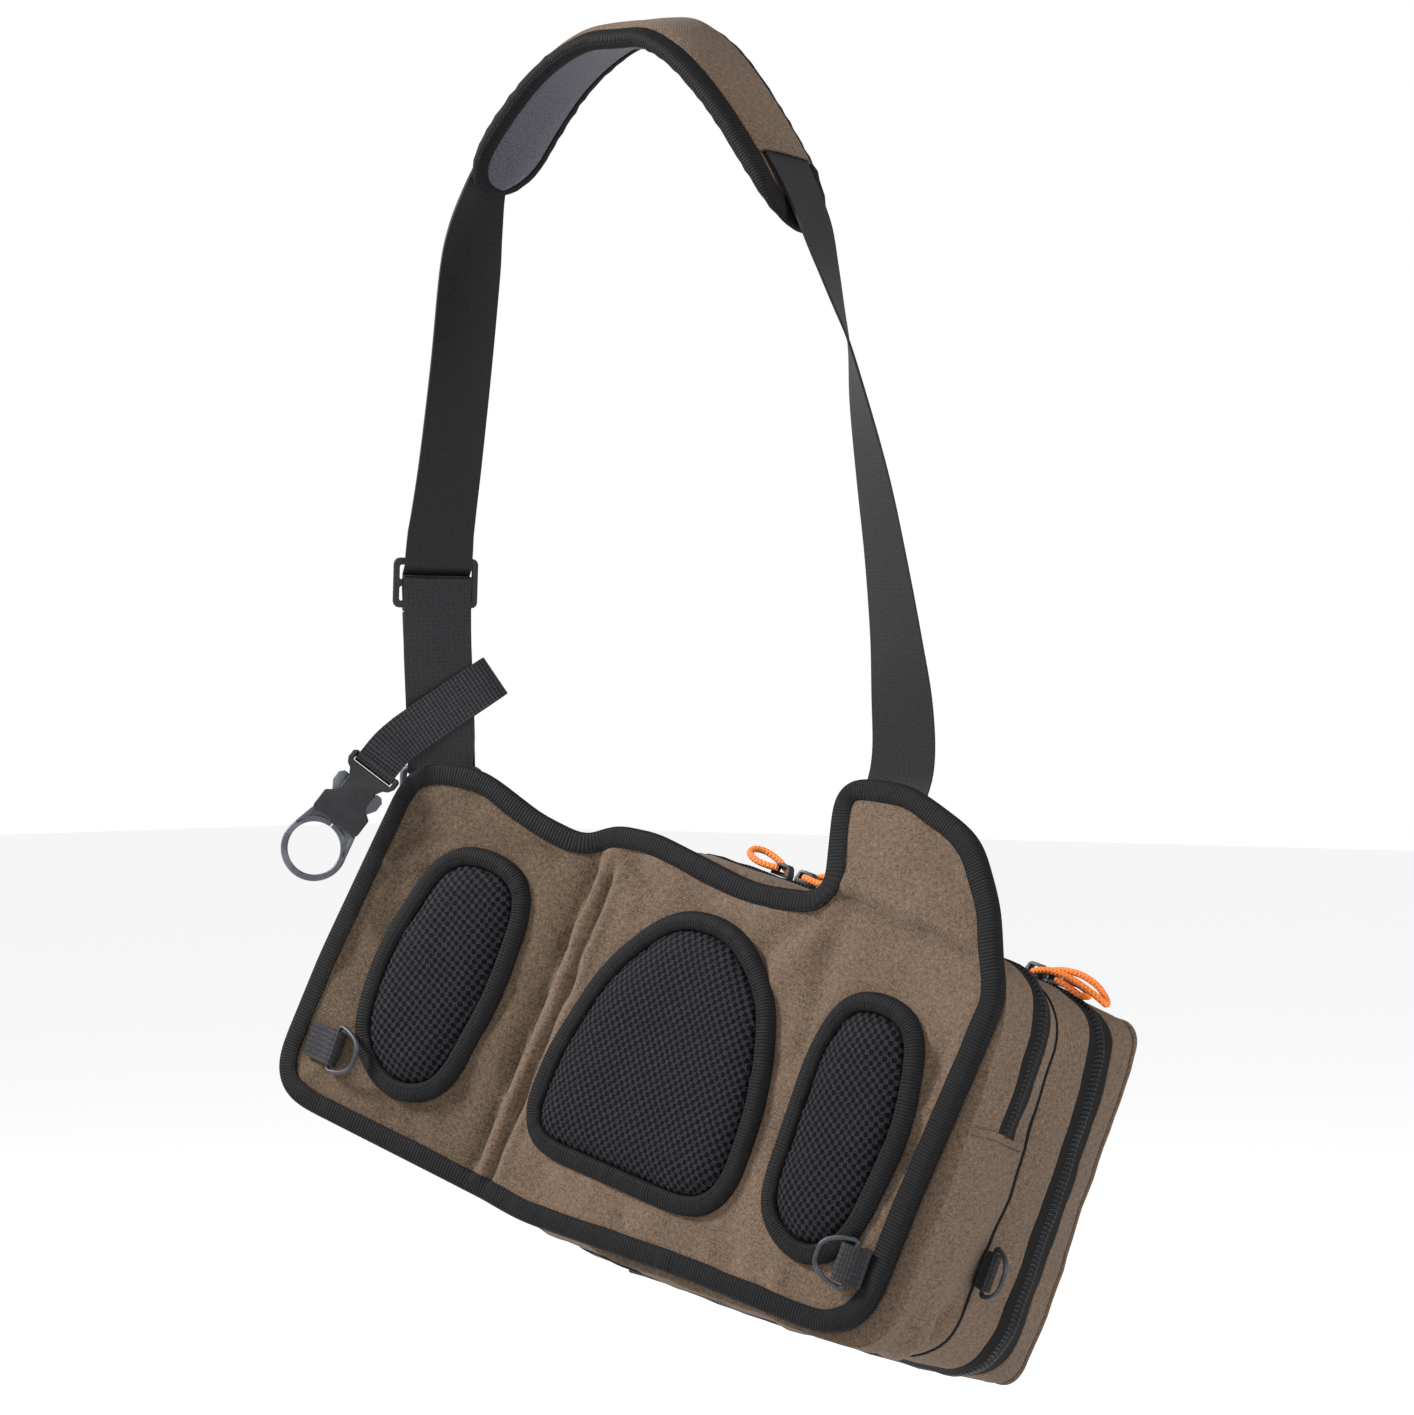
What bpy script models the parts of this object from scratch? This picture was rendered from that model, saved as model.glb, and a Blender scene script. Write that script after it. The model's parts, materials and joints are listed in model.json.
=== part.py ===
"""Fishing tackle sling bag, hanging from the crest of its shoulder pad.

The origin is the underside of the pad's crest. +Z is up and +Y points away from the
wearer's back. All sizes and tables are in millimetres and degrees.

Three frames carry the pieces. The bag frame has u to the right, t away from the wearer
and w up, with its origin at the foot of the fold. The flat frame is the same sheet
before the wing and the ear are folded: x, t, w. The route is the strap's centre line,
where a place is an arc length s, a distance across and a height above the webbing.
"""
import math
from bisect import bisect_right
from collections import namedtuple

import bmesh
import bpy
from mathutils import Matrix, Vector

MM = 0.001
GAP = 0.3
RIM_GAP = 0.6
PART_NAME = "tackle_sling_bag"

# Place and lean of the hanging bag
BAG_ORIGIN = (-101.7, -19.1, -646.5)
BAG_TIP = -12.0
BAG_LEAN = 15.0
WING_BEND = 12.0
VIEW_TURN = 39.5

# Back panel, its fold and its binding
PANEL_T = 5.0
PANEL_HEIGHT = 224.0
FOLD_FOOT_X = -13.0
FOLD_HEAD_X = 1.0
FOLD_SOFT = 4.0
EAR_CREASE_W = 231.0
EAR_BEND = 5.0
EAR_SOFT = 4.0
BINDING_WIDTH = 12.5
BINDING_WALL = 0.8

# Body walls
CLOTH = 2.0
CORNER_STEPS = 4
SIDE_BULGE = 2.0
BODY_BACK_T = 6.9
REAR_ZIP_T = (31.3, 50.7)
SEAM_T = (61.4, 63.4)
FRONT_ZIP_T = (93.8, 116.4)
FRONT_FACE_T = 148.0
SEAM_PROUD = 0.9

# Webbing, rings and hardware
WEB_T = 1.4
STRAP_W = 39.5
TAB_W = 20.5
RING_WIRE = 2.6
RING_WIDTH = 26.4
RING_DEPTH = 20.0
SQUARE_WIRE = 4.0
SQUARE_SIZE = (47.0, 28.0)
SQUARE_TILT = -8.0
SLIDER_SIZE = (49.5, 29.0)
SLIDER_T = 3.0
SLIDER_BAR = 4.0
SLIDER_SIDE = 3.5
SLIDER_SHIFT = -0.9

# Shoulder pad
PAD_HALF = 33.0
PAD_EDGE = 10.0
PAD_TIP_R = 30.0
PAD_TIP_DROP = 2.6
WEB_OVER_PAD = 10.7
SLEEVE_HALF = 22.6

# Cord pulls
CORD_D = 3.8

Corner = namedtuple("Corner", "x w radius")
Section = namedtuple("Section", "t left right foot_left foot_right head_left head_right corner")
Dent = namedtuple("Dent", "station t reach_stations reach_t depth")
Stop = namedtuple("Stop", "x y z turn roll")
Tape = namedtuple("Tape", "inset t")
Dome = namedtuple("Dome", "scale t")
Edge = namedtuple("Edge", "inset low high")
Web = namedtuple("Web", "along height low high")
Point = namedtuple("Point", "u t w")
Tab = namedtuple("Tab", "frame u t w turn length slack ring_turn")

PANEL_CORNERS = (
    Corner(-13, 213, 12), Corner(1, 225, 9), Corner(32, 229, 30), Corner(110, 222, 80),
    Corner(155, 230.5, 7), Corner(133, 293, 18), Corner(180, 303, 70), Corner(234, 289, 45),
    Corner(262, 257, 70), Corner(286, 212, 18), Corner(276, 95, 200), Corner(272, 12, 40),
    Corner(150, 7, 120), Corner(30, -3, 80), Corner(-30, 1, 80), Corner(-158.5, 9, 32),
    Corner(-153, 95, 150), Corner(-138, 220, 32), Corner(-91, 229, 50), Corner(-45, 216, 50),
)
MID_PAD_CORNERS = (
    Corner(10, 37, 30), Corner(13, 95, 100), Corner(28, 150, 90), Corner(66, 197, 50),
    Corner(113, 198, 40), Corner(150, 168, 50), Corner(165, 118, 100), Corner(167, 38, 44),
)
RIGHT_PAD_CORNERS = (
    Corner(181, 150, 60), Corner(191, 190, 34), Corner(247, 193, 34), Corner(260, 128, 90),
    Corner(250, 57, 30), Corner(222, 38, 20), Corner(182, 54, 30),
)
LEFT_PAD_CORNERS = (
    Corner(-29, 185, 36), Corner(-29.5, 110, 150), Corner(-43, 40, 40), Corner(-80, 30, 26),
    Corner(-114, 54, 38), Corner(-117.5, 108, 120), Corner(-96, 187, 36),
)
# The fold: how far each line lies across from the wing's groove, and how far it sinks
FOLD_PROFILE = ((-4.0, 0.0), (0.0, 1.3), (7.0, -1.2), (14.0, 1.3), (18.0, 0.0))
FOLD_FADE = (13.0, 25.0, 184.0, 196.0)
PAD_TAPE = (Tape(0, -0.3), Tape(0.5, -3.2), Tape(3, -4.8), Tape(9.4, -5.0), Tape(11, -0.3))
PAD_DOME = (Dome(1.0, -0.3), Dome(1.0, -3.6), Dome(0.94, -6.6), Dome(0.8, -8.8), Dome(0.5, -10.2))

BODY_SECTIONS = (
    Section(6, 8, 286, -4, 12, 223, 228, 36), Section(30, 4, 290, -10, 11, 225, 230, 38),
    Section(62, 6, 287, -15, 11, 223, 223, 36), Section(98, 3, 292, -22, 8, 220, 221, 38),
    Section(116, 3, 292, -23, 7, 219, 220, 32), Section(132, 5, 291, -22, 6, 217, 219, 20),
    Section(150, 8, 288, -18, 7, 213, 216, 12),
)
BODY_DENTS = (Dent(5, 41, 2.2, 24, 6.0), Dent(9, 62, 1.6, 20, 2.0))

# The strap from the square ring up over the shoulder pad and down behind the right ear
ROUTE_STOPS = (
    Stop(-164.9, 14.3, -404, 24, 0), Stop(-164.3, 13.4, -396.5, 24, 0), Stop(-163, 11.8, -383, 36, 0),
    Stop(-161.7, 9.4, -364, 39.5, 0), Stop(-160.4, 6.6, -340, 40, 0), Stop(-159.6, 4.7, -315, 52, 0),
    Stop(-158.1, 3.3, -295.6, 53, 0), Stop(-155.7, 2.2, -277, 54, 0), Stop(-150.8, 1.2, -256, 63, 0),
    Stop(-144.5, 0.6, -224.6, 68, 0),
    Stop(-136, 0.2, -171.8, 71, 0), Stop(-129, 0, -119, 72, 0), Stop(-124.6, 0, -94, 82, 0),
    Stop(-117.6, 0, -71.5, 96, 3), Stop(-110, 0, -59, 98, 4), Stop(-93, 0, -37, 98, 5),
    Stop(-68.5, 0, -13, 98, 7), Stop(-45, 0, 2, 96, 9), Stop(-21, 0, 10.4, 94, 11),
    Stop(2, 0, 10.7, 94, 12), Stop(25, 0, 8, 95, 12), Stop(46.5, 0, -4.5, 96, 11),
    Stop(65.5, 0, -22.5, 97, 9), Stop(84.5, 0, -45.5, 98, 7), Stop(103, 0, -71.5, 98, 5),
    Stop(114, 0, -90, 100, 3), Stop(123.8, 0, -111, 102, 1), Stop(129, 3.9, -133.4, 110.5, 0),
    Stop(133.3, 8.1, -155, 119.5, 0), Stop(137.4, 12.2, -176, 128, 0), Stop(139.3, 17.8, -205, 140, 0),
    Stop(142.6, 26, -246.6, 152, 0), Stop(145, 34, -289, 160, 0), Stop(145.6, 42.5, -332, 170, 0),
    Stop(143.8, 50, -364.4, 181, 0), Stop(140.4, 56, -393, 184, 0),
)
PAD_FIRST_STOP = 13
PAD_LAST_STOP = 26
SLEEVE_STOPS = (15, 24)
SLIDER_STOP = 6
SEWN_END = (Point(169, 13.6, 297), Point(168.5, 12, 270), Point(168, 10.6, 257), Point(167.5, 8.1, 243))
SEWN_TURN = 184.5
ROUTE_STEPS = 6

# How the webbing weaves through the slider: along the strap from its centre, and height
WEAVE_STRAP = ((-16, 2.8), (-9, 2.9), (-3, 4.7), (1.4, 4.9), (4.4, 4.0), (7.2, 0.6), (9.0, -2.1),
               (11.2, -2.8), (15.4, -2.8), (21, -2.0), (29, 0.0))
WEAVE_HOOK = ((-2.2, 2.8), (0, 2.9), (2.2, 2.8), (3.3, 1.6), (3.3, -1.6), (2.2, -2.8), (0, -2.9))
LOOP_FRONT = ((-4, -2.9), (-16, -2.9), (-26, -1.7), (-38, -1.0))
RING_WRAP_R = 3.1
# The tab behind the left ear: down from the ring's lower bar, share of the ear's own plane
EAR_TAB = ((5, 0.0), (14, 0.45), (26, 1.0), (46, 1.0))
EAR_TAB_LEVELS = (6.05, 7.75)

PAD_LINING = (Edge(10.3, 0, 0), Edge(10.3, 1, 0))
PAD_CORE = (Edge(1.4, 1.3, 0), Edge(1.4, 7.0, 1), Edge(10.3, 9.0, 1))
PAD_BINDING = (Edge(0, 0, 0), Edge(PAD_EDGE, 0, 0), Edge(PAD_EDGE, 1, 0), Edge(1, 1, 0),
               Edge(1, 7.4, 1), Edge(PAD_EDGE, 9.35, 1), Edge(PAD_EDGE, 10.2, 1), Edge(0, 8.2, 1))

CLIP_ORIGIN = (-190.1, -14.2, -403.4)
# The clip's webbing: how steeply it runs and how far it sways, along it from the buckle's slot
CLIP_TURN = ((0, 52.5), (7, 52.5), (31, 34.0))
CLIP_SWAY = ((0, -9), (3.6, -9), (10, -6.5), (20, -1.5), (26, 0))
# Its loop round the strap, out along the front and back along the rear
CLIP_LOOP = (
    Web(1.8, -3.1, -12.7, 12.7), Web(5.5, -1.2, -12.7, 12.7), Web(9, -2.6, -12.7, 12.7),
    Web(14, -4.8, -12.7, 12.7), Web(20, -5.6, -12.7, 12.7), Web(50, -5.8, -12.7, 12.7),
    Web(76, -5.6, -12.7, 12.7), Web(83.2, -5, -12.7, 12.7), Web(87, -2.7, -12.7, 12.7),
    Web(88.2, 0, -12.7, 12.7), Web(87, 2.7, -12.7, 12.7), Web(83.2, 5, -12.7, 12.7),
    Web(76, 5.8, -12.7, 12.7), Web(50, 6.8, -12.7, 12.7), Web(38, 9, -12.7, 12.7),
    Web(30, 11.8, -11, 12.7), Web(22, 14.2, -8, 12.5), Web(14, 13.8, -4.5, 11.5),
    Web(8.5, 8.6, -4.5, 11.5), Web(5, 2.8, -9, 12), Web(1.8, 3.1, -12.7, 12.7),
)
CLIP_BAR = (0.75, 3.2)
SOCKET_HALF = ((2.4, 0), (2.4, 14.8), (1.2, 16.4), (-3.5, 16.4), (-6.5, 14.6), (-8, 11.8), (-12, 9.4),
               (-20, 9.4), (-23.5, 10.8), (-27, 15.6), (-37.8, 15.6), (-39.2, 14.4), (-39.2, 0))
PRONG_HALF = ((-34, 0), (-34, 8), (-16, 8.6), (-11.6, 10), (-11.6, 13.4), (-14, 15.6), (-19.5, 15.6),
              (-24.5, 12.4), (-39.6, 12.4), (-39.6, 15.2), (-52, 18.2))
SOCKET_T = 9.2
PRONG_T = 4.4
BUCKLE_BAR_T = 3.0
CATCH_RING_X = -58.3
CATCH_RING_R = (15.5, 19.25)
CATCH_SLIT = (-40.6, 0.8)
ZIP_SLIDER_L = 13.0
ZIP_SLIDER_W = 5.0
ZIP_SLIDERS = {
    "zip_slider_1": Point(95, 41, 229.0), "zip_slider_2": Point(112, 41, 229.4),
    "zip_slider_3": Point(234, 105, 224.2), "zip_slider_4": Point(250, 105, 223.9),
}
PULL_CORDS = {
    "pull_cord_1": (Point(94, 45.5, 233), Point(86, 46.5, 236.5), Point(77, 45, 239),
                    Point(71.5, 41, 238.5), Point(72, 36.5, 235.5), Point(79, 34.5, 233),
                    Point(87, 35, 232.5), Point(93.5, 36.5, 233)),
    "pull_cord_2": (Point(113, 45.5, 233.5), Point(119, 46.5, 237), Point(127, 46, 237.5),
                    Point(135, 44.5, 235), Point(139, 40.5, 233), Point(136, 36.5, 232.4),
                    Point(127, 35.5, 232.8), Point(119, 35.6, 233), Point(113, 36.5, 233.2)),
    "pull_cord_3": (Point(235, 110.2, 226.5), Point(243, 111.4, 231.5), Point(256, 113, 233.5),
                    Point(269, 113, 231), Point(279, 110, 226), Point(283, 105, 223.5),
                    Point(278, 100.5, 226), Point(264, 97.8, 229.8), Point(250, 97.6, 230.6),
                    Point(242, 98.4, 229.2), Point(235, 99.8, 226.5)),
    "pull_cord_4": (Point(251, 110, 227.5), Point(259, 110.4, 228), Point(267, 108, 226.3),
                    Point(271, 104.6, 224.2), Point(268, 101.8, 223.2), Point(262, 99.9, 224.8),
                    Point(257, 99.7, 226), Point(251, 100, 227)),
}

# Each tab: its ring's bar, the way to its sewn end, its length there and past the bar
TABS = {
    "right": Tab("bag", 254.5, -5.5, 52.2, 17.0, 8.0, 8.0, 1.0),
    "left": Tab("wing", -120.6, -4.9, 47.2, 172.0, 18.6, 4.6, -10.0),
    "side": Tab("bag", 296.2, 59.4, 70.0, 163.0, 7.5, 4.2, -17.0),
}

# Colours as seen, linear
BROWN = (0.205, 0.155, 0.118, 1.0)
BLACK_WEB = (0.014, 0.014, 0.016, 1.0)
BLACK_MESH = (0.009, 0.009, 0.010, 1.0)
DARK_PLASTIC = (0.040, 0.040, 0.047, 1.0)
GREY_PLASTIC = (0.095, 0.100, 0.115, 1.0)
LINING_GREY = (0.070, 0.070, 0.093, 1.0)
ORANGE = (0.90, 0.19, 0.012, 1.0)


def clear_scene():
    """Remove whatever the open file holds."""
    for item in list(bpy.data.objects):
        bpy.data.objects.remove(item, do_unlink=True)
    for item in list(bpy.data.collections):
        bpy.data.collections.remove(item)


def new_collection(name):
    """Make a collection in the scene."""
    found = bpy.data.collections.new(name)
    bpy.context.scene.collection.children.link(found)
    return found


def finish_material(name, color, roughness, metallic=0.0):
    """Make a material with one Principled BSDF."""
    made = bpy.data.materials.new(name)
    made.use_nodes = True
    shader = made.node_tree.nodes["Principled BSDF"]
    shader.inputs["Base Color"].default_value = color
    shader.inputs["Roughness"].default_value = roughness
    shader.inputs["Metallic"].default_value = metallic
    return made


def to_mm(vector):
    """Turn millimetres into Blender's metres."""
    return Vector(vector) * MM


def rotation(tilt_x, tilt_y, turn_z):
    """Rotation matrix of an XYZ Euler in degrees."""
    spin = Matrix.Rotation(math.radians(turn_z), 4, "Z") @ Matrix.Rotation(math.radians(tilt_y), 4, "Y")
    return spin @ Matrix.Rotation(math.radians(tilt_x), 4, "X")


def frame_empty(name, matrix, parent=None):
    """Add an empty that carries a frame."""
    empty = bpy.data.objects.new(name, None)
    bpy.context.scene.collection.objects.link(empty)
    empty.parent = parent
    empty.matrix_local = matrix
    empty.hide_render = True
    return empty


def placed(origin, turn=Matrix.Identity(4)):
    """Matrix of a frame at a place in millimetres."""
    return Matrix.Translation(to_mm(origin)) @ turn


class Maker:
    """Puts finished pieces into the part's collection."""

    def __init__(self):
        self.parts = new_collection(PART_NAME)
        self.cutters = new_collection("cutters")
        self.materials = {}

    def material(self, name, color, roughness, metallic=0.0):
        """Give every piece its own material."""
        self.materials[name] = finish_material(name, color, roughness, metallic)
        return self.materials[name]

    def add_mesh(self, name, mesh_data, parent, finish):
        """Link a mesh as a named piece."""
        piece = bpy.data.objects.new(name, mesh_data)
        self.parts.objects.link(piece)
        piece.parent = parent
        mesh_data.materials.append(self.material(name, *finish))
        return piece

    def solid(self, name, shape, parent, finish):
        """Turn a closed bmesh in millimetres into a piece, faces outwards."""
        bmesh.ops.scale(shape, vec=(MM, MM, MM), verts=shape.verts)
        bmesh.ops.recalc_face_normals(shape, faces=shape.faces)
        mesh_data = bpy.data.meshes.new(name)
        shape.to_mesh(mesh_data)
        shape.free()
        return self.add_mesh(name, mesh_data, parent, finish)


# Outlines

def rounded_outline(corners, step=18.0):
    """Closed outline through corners, each rounded by its own radius."""
    points = []
    count = len(corners)
    for index, corner in enumerate(corners):
        here = Vector((corner.x, corner.w))
        before = Vector((corners[index - 1].x, corners[index - 1].w)) - here
        after = Vector((corners[(index + 1) % count].x, corners[(index + 1) % count].w)) - here
        turn = math.pi - before.angle(after)
        reach = min(corner.radius * math.tan(turn / 2), 0.48 * before.length, 0.48 * after.length)
        start = here + before.normalized() * reach
        end = here + after.normalized() * reach
        pieces = max(1, round(math.degrees(turn) / step))
        for k in range(pieces + 1):
            f = k / pieces
            points.append(start * (1 - f) ** 2 + here * 2 * f * (1 - f) + end * f * f)
    return points


def filled_in(points, longest):
    """Add points so that no edge of a closed outline is longer than allowed."""
    result = []
    for index, here in enumerate(points):
        nxt = points[(index + 1) % len(points)]
        pieces = max(1, math.ceil((nxt - here).length / longest))
        result.extend(here.lerp(nxt, k / pieces) for k in range(pieces))
    return result


def inward_normals(points):
    """Unit vectors into a closed outline, lengthened at corners so that offsets stay even."""
    area = sum(a.x * b.y - b.x * a.y for a, b in zip(points, points[1:] + points[:1]))
    side = 1.0 if area > 0 else -1.0
    normals = []
    for index, here in enumerate(points):
        back = (here - points[index - 1]).normalized()
        ahead = (points[(index + 1) % len(points)] - here).normalized()
        mean = (back + ahead).normalized()
        stretch = 1.0 / max(0.5, mean.dot(ahead))
        normals.append(Vector((-mean.y, mean.x)) * side * stretch)
    return normals


def offset(points, distance):
    """Outline moved inwards by a distance."""
    return [p + n * distance for p, n in zip(points, inward_normals(points))]


def smooth_curve(points, steps):
    """Catmull-Rom curve through points, with a number of steps in each span."""
    first = points[0] * 2 - points[1]
    last = points[-1] * 2 - points[-2]
    chain = [first, *points, last]
    result = []
    for a, b, c, d in zip(chain, chain[1:], chain[2:], chain[3:]):
        for k in range(steps):
            f = k / steps
            result.append(0.5 * (2 * b + (c - a) * f + (2 * a - 5 * b + 4 * c - d) * f ** 2
                                 + (3 * b - a - 3 * c + d) * f ** 3))
    return result + [points[-1]]


def table_value(table, x):
    """Straight-line value of a two-column table."""
    if x <= table[0][0]:
        return table[0][1]
    for (x0, y0), (x1, y1) in zip(table, table[1:]):
        if x <= x1:
            return y0 + (y1 - y0) * (x - x0) / (x1 - x0)
    return table[-1][1]


def ramp(x, low, high):
    """0 below low, 1 above high and straight between."""
    return min(1.0, max(0.0, (x - low) / (high - low)))


# Lofts

def loft(sections, closed=False, caps=True, twisted=False):
    """Closed skin over sections of equal length; a twisted one is split along shorter diagonals."""
    shape = bmesh.new()
    rings = [[shape.verts.new(p) for p in section] for section in sections]
    pairs = list(zip(rings, rings[1:]))
    if closed:
        pairs.append((rings[-1], rings[0]))
    for low, high in pairs:
        for k in range(len(low)):
            j = (k + 1) % len(low)
            if not twisted:
                shape.faces.new((low[k], low[j], high[j], high[k]))
            elif (low[k].co - high[j].co).length <= (low[j].co - high[k].co).length:
                shape.faces.new((low[k], low[j], high[j]))
                shape.faces.new((low[k], high[j], high[k]))
            else:
                shape.faces.new((low[k], low[j], high[k]))
                shape.faces.new((low[j], high[j], high[k]))
    if caps and not closed:
        shape.faces.new(rings[0])
        shape.faces.new(rings[-1])
    return shape


def prism(outline, low, high):
    """Plate from an outline in x and z, between two heights along y."""
    sections = [[Vector((x, y, z)) for x, z in outline] for y in (low, high)]
    return loft(sections)


# The folded sheet of the back panel

def fold_line(w):
    """Where the wing's groove crosses a height."""
    return FOLD_FOOT_X + (FOLD_HEAD_X - FOLD_FOOT_X) * w / PANEL_HEIGHT


def folded(x, t, w):
    """Place of a point of the flat sheet in the bag frame."""
    turn = math.radians(WING_BEND) * ramp(-x, -FOLD_SOFT, FOLD_SOFT)
    bend = math.radians(WING_BEND)
    place = Vector((x, 0, w)) if x >= 0 else Vector((x * math.cos(bend), x * math.sin(bend), w))
    fade = ramp(w, FOLD_FADE[0], FOLD_FADE[1]) * (1 - ramp(w, FOLD_FADE[2], FOLD_FADE[3]))
    place.y += fade * table_value(FOLD_PROFILE, x - fold_line(w))
    ear = math.radians(EAR_BEND) * ramp(w, EAR_CREASE_W - EAR_SOFT, EAR_CREASE_W + EAR_SOFT)
    above = max(0.0, w - EAR_CREASE_W)
    place.y += above * math.sin(math.radians(EAR_BEND))
    place.z -= above * (1 - math.cos(math.radians(EAR_BEND)))
    return place + Vector((-math.sin(turn), math.cos(turn) * math.cos(ear), -math.sin(ear))) * t


def panel_outline():
    """Outer edge of the flat sheet, with extra points where it folds."""
    return filled_in(rounded_outline(PANEL_CORNERS, 22), 60)


def cut_fold_lines(shape, groove_lines):
    """Cut a flat piece of the sheet along the lines where it folds."""
    cuts = [(Vector((x, 0, 0)), Vector((1, 0, 0))) for x in (-FOLD_SOFT, 0, FOLD_SOFT)]
    cuts += [(Vector((0, 0, EAR_CREASE_W + d)), Vector((0, 0, 1))) for d in (-EAR_SOFT, 0, EAR_SOFT)]
    if groove_lines:
        across = Vector((PANEL_HEIGHT, 0, FOLD_FOOT_X - FOLD_HEAD_X))
        cuts += [(Vector((FOLD_FOOT_X + x, 0, 0)), across) for x, _ in FOLD_PROFILE]
        cuts += [(Vector((0, 0, w)), Vector((0, 0, 1))) for w in FOLD_FADE]
    for place, normal in cuts:
        whole = shape.verts[:] + shape.edges[:] + shape.faces[:]
        bmesh.ops.bisect_plane(shape, geom=whole, dist=0.01, plane_co=place, plane_no=normal)
    return shape


def bend(shape):
    """Move every point of a flat piece to its place on the folded sheet."""
    for vert in shape.verts:
        vert.co = folded(*vert.co)
    return shape


def back_panel_shape():
    """The padded sheet: a flat plate cut along its fold lines, then folded."""
    edge = offset(panel_outline(), BINDING_WALL + GAP)
    shape = bmesh.new()
    shape.faces.new([shape.verts.new((p.x, 0, p.y)) for p in edge])
    cut_fold_lines(shape, groove_lines=True)
    raised = bmesh.ops.extrude_face_region(shape, geom=shape.faces[:], use_keep_orig=True)["geom"]
    for vert in raised:
        if isinstance(vert, bmesh.types.BMVert):
            vert.co.y += PANEL_T
    return bend(shape)


def panel_binding_shape():
    """Tape folded round the sheet's edge, its section a C that the edge sits in."""
    edge = panel_outline()
    inner = BINDING_WALL + 0.1
    front, back = -GAP, PANEL_T + GAP
    profile = ((0, front - BINDING_WALL), (BINDING_WIDTH, front - BINDING_WALL), (BINDING_WIDTH, front),
               (inner, front), (inner, back), (BINDING_WIDTH, back),
               (BINDING_WIDTH, back + BINDING_WALL), (0, back + BINDING_WALL))
    sections = [[Vector((p.x + n.x * d, t, p.y + n.y * d)) for d, t in profile]
                for p, n in zip(edge, inward_normals(edge))]
    return bend(cut_fold_lines(loft(sections, closed=True), groove_lines=False))


def pad_outline(corners):
    """Outer edge of a back pad's tape."""
    return filled_in(rounded_outline(corners, 24), 56)


def pad_tape_shape(corners):
    """Raised ring of tape round a back pad."""
    edge = pad_outline(corners)
    normals = inward_normals(edge)
    sections = [[folded(p.x + n.x * r.inset, r.t, p.y + n.y * r.inset) for r in PAD_TAPE]
                for p, n in zip(edge, normals)]
    return loft(sections, closed=True)


def pad_dome_shape(corners):
    """Crowned mesh cushion inside the tape."""
    edge = offset(pad_outline(corners), PAD_TAPE[-1].inset + GAP)
    middle = sum(edge, Vector((0, 0))) / len(edge)
    sections = []
    for row in PAD_DOME:
        ring = [middle + (p - middle) * row.scale for p in edge]
        sections.append([folded(p.x, row.t, p.y) for p in ring])
    return loft(sections)


# The body

def section_at(t):
    """Body section at a depth, straight between the table's rows."""
    rows = BODY_SECTIONS
    for low, high in zip(rows, rows[1:]):
        if t <= high.t:
            f = max(0.0, (t - low.t) / (high.t - low.t))
            return Section(*(a + (b - a) * f for a, b in zip(low, high)))
    return rows[-1]


BOTTOM_STOPS = (0, 0.33, 0.67, 1)
RIGHT_STOPS = (0, 0.34, 0.68, 1)
TOP_STOPS = (0, 0.33, 0.67, 1)
LEFT_STOPS = (0, 0.5, 1)


def ring_spans():
    """First station of each side of the body's ring."""
    corner = CORNER_STEPS - 1
    bottom = 0
    right = bottom + len(BOTTOM_STOPS) + corner
    top = right + len(RIGHT_STOPS) + corner
    left = top + len(TOP_STOPS) + corner
    return {"bottom": bottom, "right": right, "top": top, "left": left,
            "count": left + len(LEFT_STOPS) + corner}


def body_ring(t):
    """Points round the body at a depth: bottom, right, top and left, with round corners."""
    s = section_at(t)
    corners = [Vector((s.left, s.foot_left)), Vector((s.right, s.foot_right)),
               Vector((s.right, s.head_right)), Vector((s.left, s.head_left))]
    points = []
    for side, stops in enumerate((BOTTOM_STOPS, RIGHT_STOPS, TOP_STOPS, LEFT_STOPS)):
        start, end, after = corners[side], corners[(side + 1) % 4], corners[(side + 2) % 4]
        along = (end - start).normalized()
        outward = Vector((along.y, -along.x))
        first, last = start + along * s.corner, end - along * s.corner
        for f in stops:
            points.append(first.lerp(last, f) + outward * SIDE_BULGE * 4 * f * (1 - f))
        leave = end + (after - end).normalized() * s.corner
        for k in range(1, CORNER_STEPS):
            f = k / CORNER_STEPS
            points.append(last * (1 - f) ** 2 + end * 2 * f * (1 - f) + leave * f * f)
    inward = inward_normals(points)
    for dent in BODY_DENTS:
        for k, place in enumerate(points):
            share = max(0.0, 1 - abs(k - dent.station) / dent.reach_stations)
            share *= max(0.0, 1 - abs(t - dent.t) / dent.reach_t)
            points[k] = place + inward[k] * dent.depth * share
    return points


def body_point(station, t, rise):
    """A point of the body's skin at a station, which may lie between two, and a rise."""
    ring = body_ring(t)
    out = [-n for n in inward_normals(ring)]
    k = math.floor(station)
    f = station - k
    a, b = k % len(ring), (k + 1) % len(ring)
    place = ring[a].lerp(ring[b], f) + out[a].lerp(out[b], f) * rise
    return Vector((place.x, t, place.y))


def band_shape(profile, first, last, closed=False):
    """Strip of the body's skin: a profile of depth and rise, run round the stations."""
    ease = 0.0 if closed else 0.02
    stations = list(range(first, last + (0 if closed else 1)))
    if not closed:
        stations[0], stations[-1] = first + ease, last - ease
    return loft([[body_point(k, t, rise) for t, rise in profile] for k in stations], closed=closed)


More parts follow.
